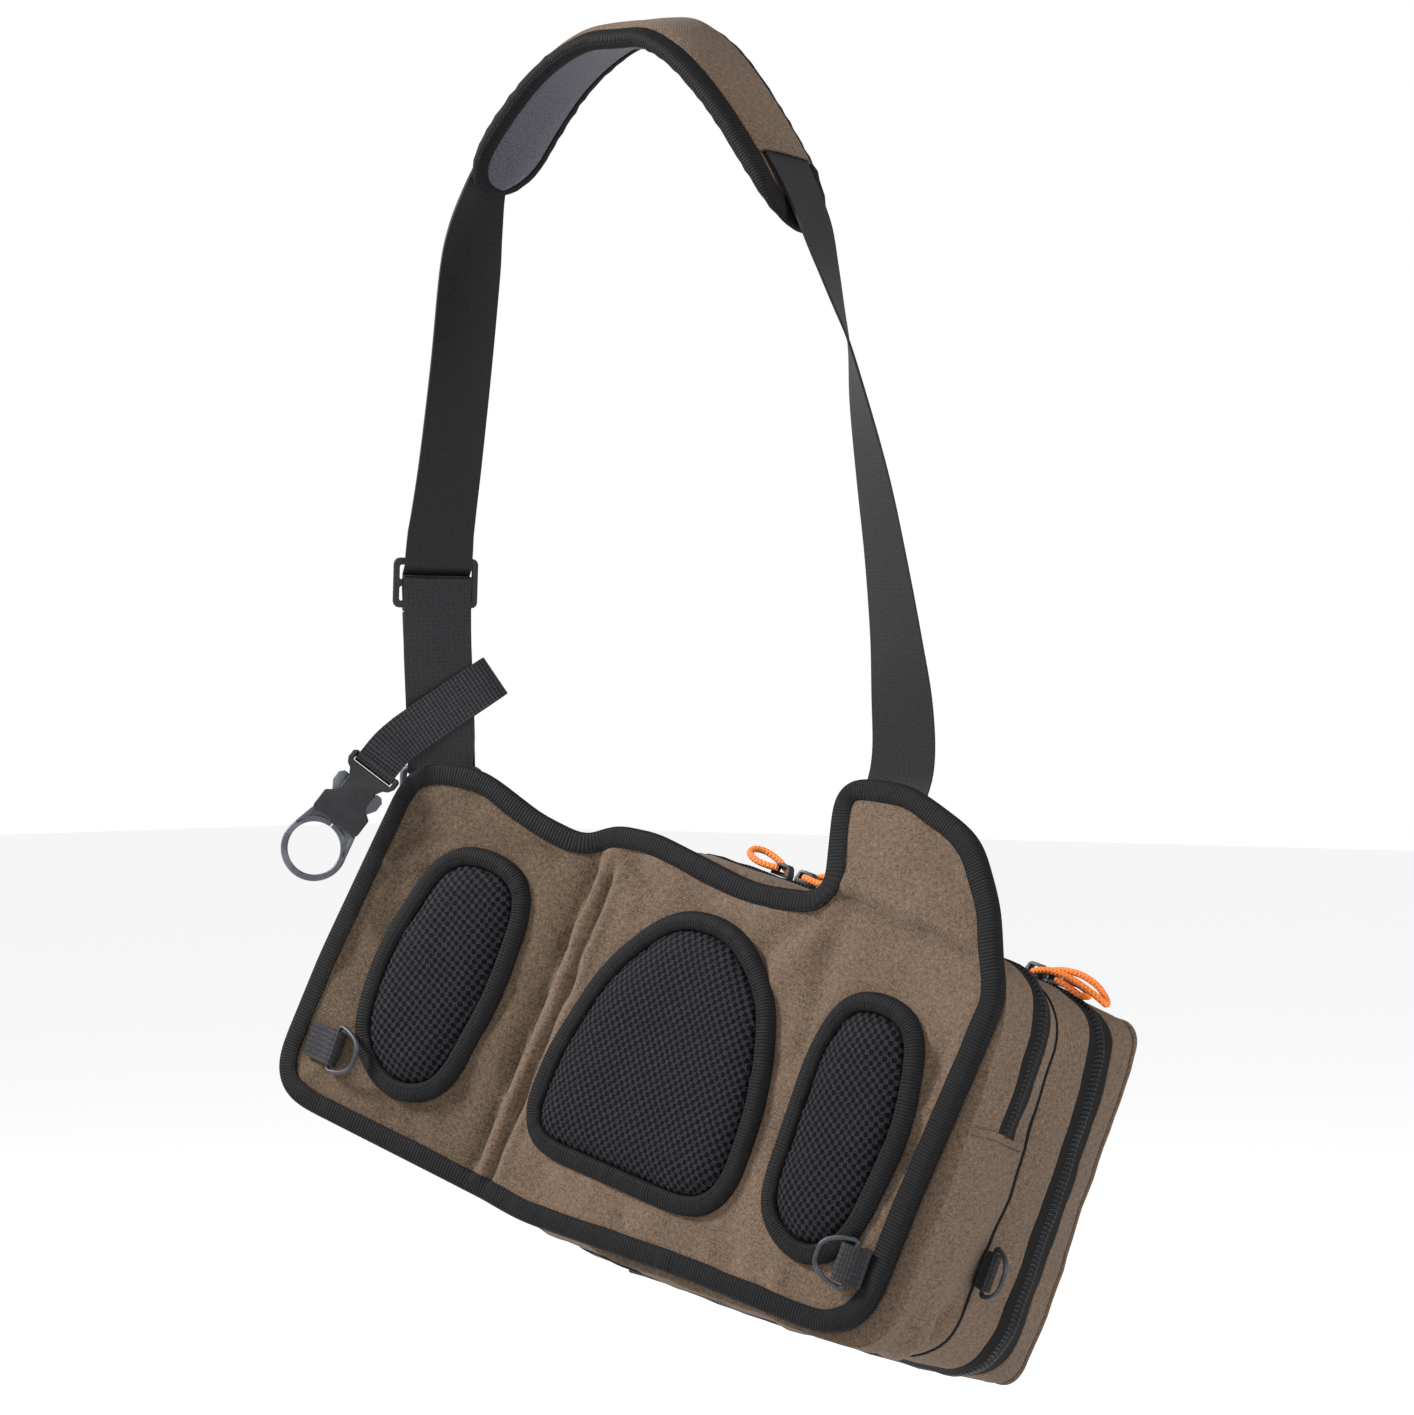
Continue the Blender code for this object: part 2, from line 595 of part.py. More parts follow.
def tray_shape(rows, hole=None):
    """Open skin over the body's rings, closed at its last row; hole leaves cells out."""
    count = ring_spans()["count"]
    shape = bmesh.new()
    rings = []
    for t, scale in rows:
        ring = [Vector((p.x, t, p.z)) for p in (body_point(k, t, 0) for k in range(count))]
        middle = sum(ring, Vector()) / count
        rings.append([shape.verts.new(middle + (p - middle) * scale) for p in ring])
    for row, (low, high) in enumerate(zip(rings, rings[1:])):
        for k in range(count):
            if hole and row in hole["rows"] and hole["first"] <= k < hole["last"]:
                continue
            j = (k + 1) % count
            shape.faces.new((low[k], low[j], high[j], high[k]))
    shape.faces.new(rings[-1])
    return shape


def walled(maker, name, shape, parent, thickness, middle, finish):
    """Give an open skin its wall, inwards from its outer side."""
    bmesh.ops.scale(shape, vec=(MM, MM, MM), verts=shape.verts)
    bmesh.ops.recalc_face_normals(shape, faces=shape.faces)
    shape.faces.ensure_lookup_table()
    cap = shape.faces[len(shape.faces) - 1]
    if cap.normal.dot(cap.calc_center_median() - to_mm(middle)) < 0:
        bmesh.ops.reverse_faces(shape, faces=shape.faces)
    mesh_data = bpy.data.meshes.new(name)
    shape.to_mesh(mesh_data)
    shape.free()
    piece = maker.add_mesh(name, mesh_data, parent, finish)
    wall = piece.modifiers.new("wall", "SOLIDIFY")
    wall.thickness = thickness * MM
    wall.offset = -1
    wall.use_even_offset = True
    return piece


# The strap's route

class Route:
    """Centre line of the strap with its width and height directions at every length."""

    def __init__(self, bag_matrix):
        rows = [Vector((s.x, s.y, s.z, s.turn, s.roll)) for s in ROUTE_STOPS]
        for stop in SEWN_END:
            place = bag_matrix @ to_mm((stop.u, stop.t, stop.w)) / MM
            rows.append(Vector((*place, SEWN_TURN, 0.0)))
        dense = smooth_curve(rows, ROUTE_STEPS)
        self.places = [Vector(row[:3]) for row in dense]
        self.lengths = [0.0]
        for a, b in zip(self.places, self.places[1:]):
            self.lengths.append(self.lengths[-1] + (b - a).length)
        self.widths = []
        self.heights = []
        for k, row in enumerate(dense):
            ahead = (self.places[min(k + 1, len(dense) - 1)] - self.places[max(k - 1, 0)]).normalized()
            turn, roll = math.radians(row[3]), math.radians(row[4])
            width = Vector((math.cos(turn) * math.cos(roll), math.sin(turn) * math.cos(roll), math.sin(roll)))
            width = (width - ahead * width.dot(ahead)).normalized()
            self.widths.append(width)
            self.heights.append(ahead.cross(width))

    def length_at(self, stop):
        """Arc length of a stop of the table."""
        return self.lengths[stop * ROUTE_STEPS]

    def place(self, s, across=0.0, rise=0.0):
        """World place at a length, a distance across the webbing and a height above it."""
        k = min(max(bisect_right(self.lengths, s) - 1, 0), len(self.lengths) - 2)
        f = (s - self.lengths[k]) / (self.lengths[k + 1] - self.lengths[k])
        width = self.widths[k].lerp(self.widths[k + 1], f)
        height = self.heights[k].lerp(self.heights[k + 1], f)
        return self.places[k].lerp(self.places[k + 1], f) + width * across + height * rise

    def stations(self, start, end, every=3):
        """Lengths that all layers of the strap share, from start to end."""
        inner = [s for s in self.lengths[::every] if start + 2 < s < end - 2]
        return [start, *inner, end]

    def matrix(self, s):
        """Frame at a length: x across, y along the height, z down the strap."""
        across = (self.place(s, 1) - self.place(s)).normalized()
        height = (self.place(s, 0, 1) - self.place(s)).normalized()
        axes = Matrix((across, height, across.cross(height))).transposed().to_4x4()
        return placed(self.place(s), axes)


def ribbon(route, stops, width, thickness):
    """Webbing along (length, height) stops of the route, square to its own path."""
    sections = []
    for k, (s, rise) in enumerate(stops):
        s0, r0 = stops[max(k - 1, 0)]
        s1, r1 = stops[min(k + 1, len(stops) - 1)]
        along = Vector((s1 - s0, r1 - r0)).normalized()
        up = Vector((-along.y, along.x)) * thickness / 2
        section = []
        for side, level in ((-1, -1), (1, -1), (1, 1), (-1, 1)):
            section.append(route.place(s + up.x * level, side * width / 2, rise + up.y * level))
        sections.append(section)
    return loft(sections, twisted=True)


def web_loop(path, width, thickness, closed=False):
    """Webbing along a path of (a, b) pairs, its width along z; a and b become x and y."""
    path = [Vector(p) for p in path]
    count = len(path)
    sections = []
    for k, here in enumerate(path):
        back = path[k - 1] if closed or k else here
        ahead = path[(k + 1) % count] if closed or k < count - 1 else here
        along = (ahead - back).normalized()
        side = Vector((-along.y, along.x)) * thickness / 2
        sections.append([Vector((here.x + side.x * level, here.y + side.y * level, z * width / 2))
                         for level, z in ((-1, -1), (1, -1), (1, 1), (-1, 1))])
    return loft(sections, closed=closed)


def arc(middle, radius, start, end, steps):
    """Points on an arc, angles in degrees."""
    angles = [math.radians(start + (end - start) * k / steps) for k in range(steps + 1)]
    return [Vector((middle[0] + radius * math.cos(a), middle[1] + radius * math.sin(a))) for a in angles]


# Shoulder pad layers

def pad_half_width(s, start, end, inset):
    """Half of the pad's width at a length, round at both tips."""
    depth = min(s - start, end - s) - inset
    tip = PAD_TIP_R - inset * 0.6
    half = PAD_HALF - inset
    if depth >= tip:
        return half
    return half * math.sqrt(max(0.0, 1 - (1 - depth / tip) ** 2))


def pad_drop(s, start, end):
    """How far the pad's upper side comes down towards its tips."""
    return PAD_TIP_DROP * (1 - ramp(min(s - start, end - s), 4, 42))


def pad_stations(route, start, end):
    """Lengths along the pad, closer together at its round tips."""
    tips = (0.25, 2.0, 6.0, 12.0, 20.0)
    inner = [s for s in route.lengths[::3] if start + tips[-1] + 5 < s < end - tips[-1] - 5]
    return [start + d for d in tips] + inner + [end - d for d in reversed(tips)]


def pad_flat_outline(route, start, end):
    """Closed outline of the pad in length and across: down its right side, up its left."""
    stations = pad_stations(route, start, end)
    right = [Vector((s, pad_half_width(s, start, end, 0))) for s in stations]
    left = [Vector((p.x, -p.y)) for p in reversed(right)]
    return right + left


def pad_point(route, start, end, spot, edge):
    """World place of a point of the flat pad at one of a layer's edges."""
    drop = pad_drop(spot.x, start, end) * edge.high
    return route.place(spot.x, spot.y, edge.low - WEB_OVER_PAD - drop)


def pad_layer_shape(route, start, end, edges):
    """One layer of the pad: rings one above another, bridged across at both faces."""
    flat = pad_flat_outline(route, start, end)
    normals = inward_normals(flat)
    shape = bmesh.new()
    rings = []
    for edge in edges:
        spots = [p + n * edge.inset for p, n in zip(flat, normals)]
        rings.append([shape.verts.new(pad_point(route, start, end, q, edge)) for q in spots])
    count = len(flat)
    for low, high in zip(rings, rings[1:]):
        for k in range(count):
            j = (k + 1) % count
            shape.faces.new((low[k], low[j], high[j], high[k]))
    for ring in (rings[0], rings[-1]):
        for k in range(count // 2 - 1):
            shape.faces.new((ring[k], ring[k + 1], ring[count - 2 - k], ring[count - 1 - k]))
    return shape


def pad_binding_shape(route, start, end):
    """Tape folded round the shoulder pad's edge."""
    flat = pad_flat_outline(route, start, end)
    sections = []
    for p, n in zip(flat, inward_normals(flat)):
        sections.append([pad_point(route, start, end, p + n * row.inset, row) for row in PAD_BINDING])
    return loft(sections, closed=True)


# Wire and plates

def wire(maker, name, points, diameter, parent, finish, cyclic=True):
    """Round wire or cord along points in millimetres, as a bevelled curve."""
    curve = bpy.data.curves.new(name, "CURVE")
    curve.dimensions = "3D"
    curve.bevel_depth = diameter / 2 * MM
    curve.bevel_resolution = 2
    curve.use_fill_caps = True
    spline = curve.splines.new("POLY")
    spline.points.add(len(points) - 1)
    for target, point in zip(spline.points, points):
        target.co = (*to_mm(point), 1.0)
    spline.use_cyclic_u = cyclic
    piece = bpy.data.objects.new(name, curve)
    maker.parts.objects.link(piece)
    piece.parent = parent
    curve.materials.append(maker.material(name, *finish))
    return piece


def plate(maker, name, outlines, thickness, parent, finish):
    """Flat plate from an outer outline and its holes, standing in x and z."""
    curve = bpy.data.curves.new(name, "CURVE")
    curve.dimensions = "2D"
    curve.fill_mode = "BOTH"
    curve.extrude = thickness / 2 * MM
    for outline in outlines:
        spline = curve.splines.new("POLY")
        spline.points.add(len(outline) - 1)
        for target, (x, z) in zip(spline.points, outline):
            target.co = (x * MM, z * MM, 0, 1.0)
        spline.use_cyclic_u = True
    piece = bpy.data.objects.new(name, curve)
    maker.parts.objects.link(piece)
    piece.parent = parent
    piece.rotation_euler = (math.radians(90), 0, 0)
    curve.materials.append(maker.material(name, *finish))
    return piece


def round_rect(width, height, radius, steps=3):
    """Outline of a rectangle with round corners, about the origin."""
    points = []
    for index, (sx, sz) in enumerate(((1, 1), (-1, 1), (-1, -1), (1, -1))):
        middle = (sx * (width / 2 - radius), sz * (height / 2 - radius))
        points += arc(middle, radius, 90 * index, 90 * index + 90, steps)
    return points


def mirrored(half):
    """Full outline from the half above the axis."""
    return list(half) + [(x, -z) for x, z in reversed(half) if z > 0]


def d_ring_points():
    """Centre line of a D-ring: its bar on the local z axis, its bow towards -x."""
    half = RING_WIDTH / 2
    bow = [Vector((-RING_DEPTH * math.sin(a), 0, math.copysign(half * abs(math.cos(a)) ** 0.75, math.cos(a))))
           for a in (math.radians(14 + k * 152 / 9) for k in range(10))]
    top = [Vector((0, 0, half - 1.6)), Vector((-0.8, 0, half - 0.3))]
    bottom = [Vector((p.x, 0, -p.z)) for p in reversed(top)]
    return top + bow + bottom


def tab_shape(length, slack):
    """Webbing folded round a ring's bar on the local z axis, its sewn end towards +x."""
    eye = RING_WIRE / 2 + GAP + WEB_T / 2 + 0.1
    low = GAP / 2 + WEB_T / 2
    half = [Vector((length, low)), Vector((min(8.0, length - 2), low + 0.3)), Vector((3.2, eye)),
            Vector((-2.4, eye)), Vector((1.4 - slack, low + 0.9)), Vector((0.2 - slack, low))]
    return web_loop(half + [Vector((p.x, -p.y)) for p in reversed(half)], TAB_W, WEB_T)


def add_tab_and_ring(maker, suffix, frame, size, ring_turn):
    """A webbing tab and the D-ring that turns in it, on the frame's z axis."""
    maker.solid("tab_" + suffix, tab_shape(*size), frame, (BLACK_WEB, 0.85))
    ring = wire(maker, "d_ring_" + suffix, d_ring_points(), RING_WIRE, frame, (DARK_PLASTIC, 0.35))
    ring.rotation_euler = (0, 0, math.radians(ring_turn))


# Building the sub-assemblies

def build_panel(maker, bag):
    """Back panel, its binding and the three back pads."""
    maker.solid("back_panel", back_panel_shape(), bag, (BROWN, 0.9))
    maker.solid("panel_binding", panel_binding_shape(), bag, (BLACK_WEB, 0.85))
    for suffix, corners in (("left", LEFT_PAD_CORNERS), ("mid", MID_PAD_CORNERS), ("right", RIGHT_PAD_CORNERS)):
        maker.solid("pad_binding_" + suffix, pad_tape_shape(corners), bag, (BLACK_WEB, 0.85))
        maker.solid("pad_" + suffix, pad_dome_shape(corners), bag, (BLACK_MESH, 0.9))


def build_body(maker, bag):
    """Rear compartment, seam, gusset, front zip and front compartment."""
    spans = ring_spans()
    zip_first = spans["right"] + 2
    zip_last = spans["top"] + len(TOP_STOPS) - 1
    hole = {"rows": (1, 2), "first": zip_first, "last": zip_last}
    middle_t = sum(REAR_ZIP_T) / 2
    rows = [(SEAM_T[0], 1), (REAR_ZIP_T[1], 1), (middle_t, 1), (REAR_ZIP_T[0], 1), (18, 1), (BODY_BACK_T, 1)]
    centre = (145, 60, 105)
    walled(maker, "body_rear_shell", tray_shape(rows, hole), bag, CLOTH, centre, (BROWN, 0.9))
    a, b = REAR_ZIP_T[0] + RIM_GAP, REAR_ZIP_T[1] - RIM_GAP
    zip_profile = ((a, 0), (a + 5.6, 0.2), (a + 6.4, 1.3), (b - 6.4, 1.3), (b - 5.6, 0.2), (b, 0),
                   (b, -1.6), (middle_t, -1.6), (a, -1.6))
    maker.solid("rear_zip", band_shape(zip_profile, zip_first, zip_last), bag, (BLACK_WEB, 0.7))

    seam = (SEAM_T[0] + RIM_GAP, SEAM_T[1])
    sheet = [[body_point(k, t, SEAM_PROUD) for k in range(spans["count"])] for t in seam]
    maker.solid("divider", loft(sheet), bag, (BLACK_WEB, 0.8))
    a, b = SEAM_T[1] + GAP, FRONT_ZIP_T[0] - GAP
    middle_t = (a + b) / 2
    gusset = ((a, 0), (middle_t, 1.2), (b, 0), (b, -CLOTH), (middle_t, -CLOTH), (a, -CLOTH))
    maker.solid("body_mid_gusset", band_shape(gusset, 0, spans["count"], closed=True), bag, (BROWN, 0.9))

    a, b = FRONT_ZIP_T[0], FRONT_ZIP_T[1] - RIM_GAP
    last = spans["top"] + len(TOP_STOPS) - 1
    zip_profile = ((a, 0), (a + 7.2, 0.2), (a + 8, 1.5), (a + 14.6, 1.5), (a + 15.4, 0.2), (b, 0),
                   (b, -1.6), (a, -1.6))
    maker.solid("front_zip", band_shape(zip_profile, 0, last), bag, (BLACK_WEB, 0.7))
    hinge = ((a, 0), ((a + b) / 2, 0.8), (b, 0), (b, -CLOTH), (a, -CLOTH))
    maker.solid("front_hinge", band_shape(hinge, last, spans["count"]), bag, (BROWN, 0.9))
    rows = [(FRONT_ZIP_T[1], 1), (130, 1), (137, 0.99), (142, 0.955), (146, 0.84), (FRONT_FACE_T, 0.5)]
    walled(maker, "front_shell", tray_shape(rows), bag, CLOTH, centre, (BROWN, 0.9))


def build_tabs(maker, bag, wing):
    """The three webbing tabs with their D-rings."""
    parents = {"bag": bag, "wing": wing}
    for suffix, row in TABS.items():
        spot = placed((row.u, row.t, row.w), rotation(0, 0, row.turn))
        frame = frame_empty("tab_" + suffix + "_axis", spot, parents[row.frame])
        add_tab_and_ring(maker, suffix, frame, (row.length, row.slack), row.ring_turn)


def ring_tab_shape(square_matrix, wing_matrix):
    """Webbing round the square ring's lower bar, lying down onto the back of the ear."""
    ring_matrix = square_matrix @ placed((0, 0, -SQUARE_SIZE[1]))
    to_wing = wing_matrix.inverted()

    def on_ring(down, height, across):
        return to_wing @ ring_matrix @ to_mm((across, height, -down)) / MM

    def spot(down, share, height, level, across):
        free, flat = on_ring(down, height, across), on_ring(down, 0, across)
        return free.lerp(Vector((flat.x, level, flat.z)), share)

    path = [(down, share, -RING_WRAP_R, EAR_TAB_LEVELS[0]) for down, share in reversed(EAR_TAB)]
    path += [(p.x, 0.0, p.y, 0.0) for p in arc((0, 0), RING_WRAP_R, 270, 90, 6)]
    path += [(down, share, RING_WRAP_R, EAR_TAB_LEVELS[1]) for down, share in EAR_TAB]
    edges = [[spot(*row, side * STRAP_W / 2) for row in path] for side in (-1, 1)]
    sections = []
    for k in range(len(path)):
        section = []
        for edge, sign in ((0, -1), (1, -1), (1, 1), (0, 1)):
            line, other = edges[edge], edges[1 - edge]
            along = line[min(k + 1, len(path) - 1)] - line[max(k - 1, 0)]
            normal = along.cross(other[k] - line[k]).normalized() * (1 if edge else -1)
            section.append(wing_matrix @ to_mm(line[k] + normal * sign * WEB_T / 2) / MM)
        sections.append(section)
    return loft(sections)


def build_strap(maker, wing_matrix, route):
    """Webbing, slider, adjusting loop, square ring and its tab."""
    middle = route.length_at(SLIDER_STOP)
    weave = [(middle + along, rise) for along, rise in WEAVE_STRAP]
    rest = route.stations(weave[-1][0] + 6, route.lengths[-1])
    strap = ribbon(route, weave + [(s, 0.0) for s in rest], STRAP_W, WEB_T)
    maker.solid("strap_main", strap, None, (BLACK_WEB, 0.85))

    front = [(middle + along, rise) for along, rise in WEAVE_HOOK + LOOP_FRONT]
    low = [s for s in route.stations(14, front[-1][0] - 4) if s > 10]
    down = [(s, -1.0) for s in reversed(low)]
    wrap = [(RING_WRAP_R * p.x, RING_WRAP_R * p.y) for p in arc((0, 0), 1, 300, 60, 8)]
    wrap = [(s, rise) for s, rise in wrap]
    up = [(s, 1.0) for s in low] + [(middle - 26, 1.5), (middle - 16.6, 2.7)]
    loop = ribbon(route, front + down + wrap + up, STRAP_W, WEB_T)
    maker.solid("strap_adjust_loop", loop, None, (BLACK_WEB, 0.8))

    frame = frame_empty("slider_frame", route.matrix(middle))
    window = (SLIDER_SIZE[1] - 3 * SLIDER_BAR) / 2
    rise = (window + SLIDER_BAR) / 2
    inner = round_rect(SLIDER_SIZE[0] - 2 * SLIDER_SIDE, window, 0.8, 1)
    outlines = [[(p.x + SLIDER_SHIFT, p.y) for p in round_rect(*SLIDER_SIZE, 3.5)]]
    outlines += [[(p.x + SLIDER_SHIFT, p.y + side * rise) for p in inner] for side in (1, -1)]
    plate(maker, "strap_slider", outlines, SLIDER_T, frame, (DARK_PLASTIC, 0.35))

    square_matrix = route.matrix(0) @ rotation(SQUARE_TILT, 0, 0)
    square = frame_empty("square_ring_frame", square_matrix)
    ring = [Vector((p.x, 0, p.y - SQUARE_SIZE[1] / 2)) for p in round_rect(*SQUARE_SIZE, 4)]
    wire(maker, "square_ring", ring, SQUARE_WIRE, square, (GREY_PLASTIC, 0.4))
    maker.solid("ring_tab", ring_tab_shape(square_matrix, wing_matrix), None, (BLACK_WEB, 0.85))


def build_shoulder_pad(maker, route):
    """Lining, core, edge binding and sleeve, stacked over the pad's arch."""
    start, end = route.length_at(PAD_FIRST_STOP), route.length_at(PAD_LAST_STOP)
    for name, edges, color in (("pad_lining", PAD_LINING, LINING_GREY), ("shoulder_pad", PAD_CORE, BROWN)):
        maker.solid(name, pad_layer_shape(route, start, end, edges), None, (color, 0.9))
    maker.solid("pad_edge_binding", pad_binding_shape(route, start, end), None, (BLACK_WEB, 0.85))
    a, b = PAD_CORE[-1].low + GAP, WEB_OVER_PAD + 2.3
    profile = ((-SLEEVE_HALF, a), (-SLEEVE_HALF, a + 1.4), (-20.8, b), (20.8, b), (SLEEVE_HALF, a + 1.4),
               (SLEEVE_HALF, a), (20.6, a), (20.2, b - 1), (-20.2, b - 1), (-20.6, a))
    first, last = (route.length_at(stop) for stop in SLEEVE_STOPS)
    sections = [[route.place(s, across, rise - WEB_OVER_PAD) for across, rise in profile]
                for s in route.stations(first, last)]
    maker.solid("pad_sleeve", loft(sections), None, (BROWN, 0.9))


def clip_point(along, height, across):
    """Place on the clip's webbing in its frame: x along the view's right, z up, y away."""
    x = z = 0.0
    steps = max(1, round(abs(along)))
    step = along / steps
    for k in range(steps):
        slope = math.radians(table_value(CLIP_TURN, (k + 0.5) * step))
        x, z = x + step * math.cos(slope), z + step * math.sin(slope)
    slope = math.radians(table_value(CLIP_TURN, along))
    y = height + table_value(CLIP_SWAY, along)
    return Vector((x - across * math.sin(slope), y, z + across * math.cos(slope)))


def clip_webbing_shape():
    """The clip's webbing: from the buckle's bar round the strap and back."""
    wrap = arc((CLIP_BAR[0], 0), CLIP_BAR[1], 110, 250, 5)
    rows = list(CLIP_LOOP) + [Web(p.x, p.y, CLIP_LOOP[0].low, CLIP_LOOP[0].high) for p in wrap]
    sections = []
    for k, row in enumerate(rows):
        back, ahead = rows[k - 1], rows[(k + 1) % len(rows)]
        along = Vector((ahead.along - back.along, ahead.height - back.height)).normalized()
        side = Vector((-along.y, along.x)) * (WEB_T - 0.1) / 2
        sections.append([clip_point(row.along + side.x * level, row.height + side.y * level, across)
                         for level, across in ((-1, row.low), (1, row.low), (1, row.high), (-1, row.high))])
    return loft(sections, closed=True)


def block(low, high):
    """Box between two corners."""
    return prism(((low[0], low[2]), (high[0], low[2]), (high[0], high[2]), (low[0], high[2])), low[1], high[1])


def build_clip(maker):
    """Webbing loop round the strap, buckle socket and the ring piece fastened in it."""
    clip = frame_empty("clip_frame", placed(CLIP_ORIGIN, rotation(0, 0, VIEW_TURN)))
    maker.solid("clip_webbing", clip_webbing_shape(), clip, (BLACK_WEB, 0.8))

    spot = placed((0, CLIP_SWAY[0][1], 0), rotation(0, -CLIP_TURN[0][1], 0))
    buckle = frame_empty("buckle_frame", spot, clip)
    body = prism(mirrored(SOCKET_HALF), -SOCKET_T / 2, SOCKET_T / 2)
    socket = maker.solid("buckle_socket", body, buckle, (DARK_PLASTIC, 0.45))
    half_bar, half_web = BUCKLE_BAR_T / 2, CLIP_LOOP[0].high + 0.8
    front = block((-1.2, -SOCKET_T, -half_web), (9, -half_bar, half_web))
    back = block((-1.2, half_bar, -half_web), (9, SOCKET_T, half_web))
    slot = block((-6.2, -SOCKET_T, -half_web), (-1.1, SOCKET_T, half_web))
    room = PRONG_T / 2 + GAP
    mouth = block((-45, -room, -12.8), (-9.4, room, 12.8))
    cuts = {"webbing_slot": slot, "bar_front": front, "bar_back": back, "prong_room": mouth}
    for label, shape in cuts.items():
        cutter = maker.solid(label + "_cutter", shape, buckle, (DARK_PLASTIC, 0.5))
        maker.parts.objects.unlink(cutter)
        maker.cutters.objects.link(cutter)
        cutter.hide_render = True
        cutter.display_type = "WIRE"
        cut = socket.modifiers.new(label, "BOOLEAN")
        cut.operation = "DIFFERENCE"
        cut.object = cutter

    inner, outer = CATCH_RING_R
    start = math.degrees(math.acos((PRONG_HALF[-1][0] - CATCH_RING_X) / outer))
    bow = [(p.x, p.y) for p in arc((CATCH_RING_X, 0), outer, start, 180, 7)][1:]
    outline = mirrored(list(PRONG_HALF) + bow)
    slit_end, slit = CATCH_SLIT
    gap_angle = math.degrees(math.asin(slit / inner))
    hole = [(p.x, p.y) for p in arc((CATCH_RING_X, 0), inner, gap_angle, 360 - gap_angle, 16)]
    hole += [(slit_end, -slit), (slit_end, slit)]
    plate(maker, "buckle_catch_ring", [outline, hole], PRONG_T, buckle, (GREY_PLASTIC, 0.45))


def build_pulls(maker, bag):
    """Zip sliders with a bridge, and the cord pulls that run beside them."""
    half = ZIP_SLIDER_L / 2
    body = ((-half, 0), (half, 0), (half, 2.2), (half - 1.5, 6.4), (half - 3, 7.4), (3 - half, 7.4),
            (1.5 - half, 6.4), (-half, 2.2))
    eye = ((2.4 - half, 2.4), (half - 2.4, 2.4), (half - 3.4, 5.6), (3.4 - half, 5.6))
    for name, spot in ZIP_SLIDERS.items():
        frame = frame_empty(name + "_frame", placed((spot.u, spot.t, spot.w), rotation(0, 0, 0)), bag)
        plate(maker, name, [body, eye], ZIP_SLIDER_W, frame, (DARK_PLASTIC, 0.4))
    for name, route_points in PULL_CORDS.items():
        points = smooth_curve([Vector(p) for p in route_points], 2)
        wire(maker, name, points, CORD_D, bag, (ORANGE, 0.5), cyclic=False)


def main():
    """Build the bag from its frames outwards."""
    clear_scene()
    maker = Maker()
    bag_matrix = placed(BAG_ORIGIN, rotation(BAG_TIP, BAG_LEAN, 0))
    bag = frame_empty("bag_frame", bag_matrix)
    wing = frame_empty("wing_frame", placed((0, 0, 0), rotation(0, 0, WING_BEND)), bag)
    route = Route(bag_matrix)
    build_panel(maker, bag)
    build_body(maker, bag)
    build_tabs(maker, bag, wing)
    build_strap(maker, bag_matrix @ rotation(0, 0, WING_BEND), route)
    build_shoulder_pad(maker, route)
    build_clip(maker)
    build_pulls(maker, bag)
    bpy.context.view_layer.update()


main()
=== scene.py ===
"""Fishing tackle sling bag: the looks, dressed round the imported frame.

Lengths in the classes are millimetres and angles degrees, in the part's own frame: the
origin is under the shoulder pad's crest, +Z is up and +Y points away from the wearer.
Every woven piece carries a UV map named "weave" that is its cloth's flat coordinates in
millimetres, so each weave keeps its real size and follows the piece.
"""
from __future__ import annotations

import json
import logging
import math
from bisect import bisect_right
from dataclasses import dataclass, field
from enum import Enum
from typing import Callable, NamedTuple, Sequence

import bmesh
import bpy
from mathutils import Matrix, Vector, noise

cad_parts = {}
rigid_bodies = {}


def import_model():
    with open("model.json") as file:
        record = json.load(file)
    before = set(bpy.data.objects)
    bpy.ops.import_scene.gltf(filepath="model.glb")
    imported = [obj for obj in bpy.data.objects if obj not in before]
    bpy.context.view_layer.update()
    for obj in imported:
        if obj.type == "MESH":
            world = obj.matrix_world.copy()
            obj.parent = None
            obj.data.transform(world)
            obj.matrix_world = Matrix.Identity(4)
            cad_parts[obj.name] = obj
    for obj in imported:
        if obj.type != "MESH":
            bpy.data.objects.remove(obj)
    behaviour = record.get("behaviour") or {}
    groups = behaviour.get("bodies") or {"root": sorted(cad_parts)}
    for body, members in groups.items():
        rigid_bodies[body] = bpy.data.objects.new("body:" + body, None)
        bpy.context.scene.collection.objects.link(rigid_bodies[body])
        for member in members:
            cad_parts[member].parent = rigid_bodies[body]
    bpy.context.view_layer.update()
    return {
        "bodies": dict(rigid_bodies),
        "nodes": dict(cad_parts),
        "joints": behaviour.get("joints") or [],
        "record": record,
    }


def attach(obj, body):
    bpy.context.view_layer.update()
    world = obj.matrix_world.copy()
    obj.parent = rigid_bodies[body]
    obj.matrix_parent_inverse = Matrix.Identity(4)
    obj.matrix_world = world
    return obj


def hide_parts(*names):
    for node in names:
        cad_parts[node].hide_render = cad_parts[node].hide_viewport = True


MM = 0.001
WEAVE = "weave"
BODY = "bag"
# Near-black: stitching thread, and painted shade where a zip's two coils meet
THREAD_AND_SHADE = "040405"
LOG = logging.getLogger("sling_bag")

class Corner(NamedTuple):
    """A corner of an outline: where it is and how round."""
    x: float
    w: float
    radius: float


class Section(NamedTuple):
    """The body's cross-section at one depth."""
    t: float
    left: float
    right: float
    foot_left: float
    foot_right: float
    head_left: float
    head_right: float
    corner: float


class Stop(NamedTuple):
    """A stop on the strap's route, with the way its width points."""
    x: float
    y: float
    z: float
    turn: float
    roll: float


class Web(NamedTuple):
    """A row of the clip's webbing: along it, height, and its two edges."""
    along: float
    height: float
    low: float = -12.7
    high: float = 12.7


class Dent(NamedTuple):
    """A soft hollow or swelling in cloth: its middle, reach both ways and depth."""
    x: float
    w: float
    reach_x: float
    reach_w: float
    depth: float


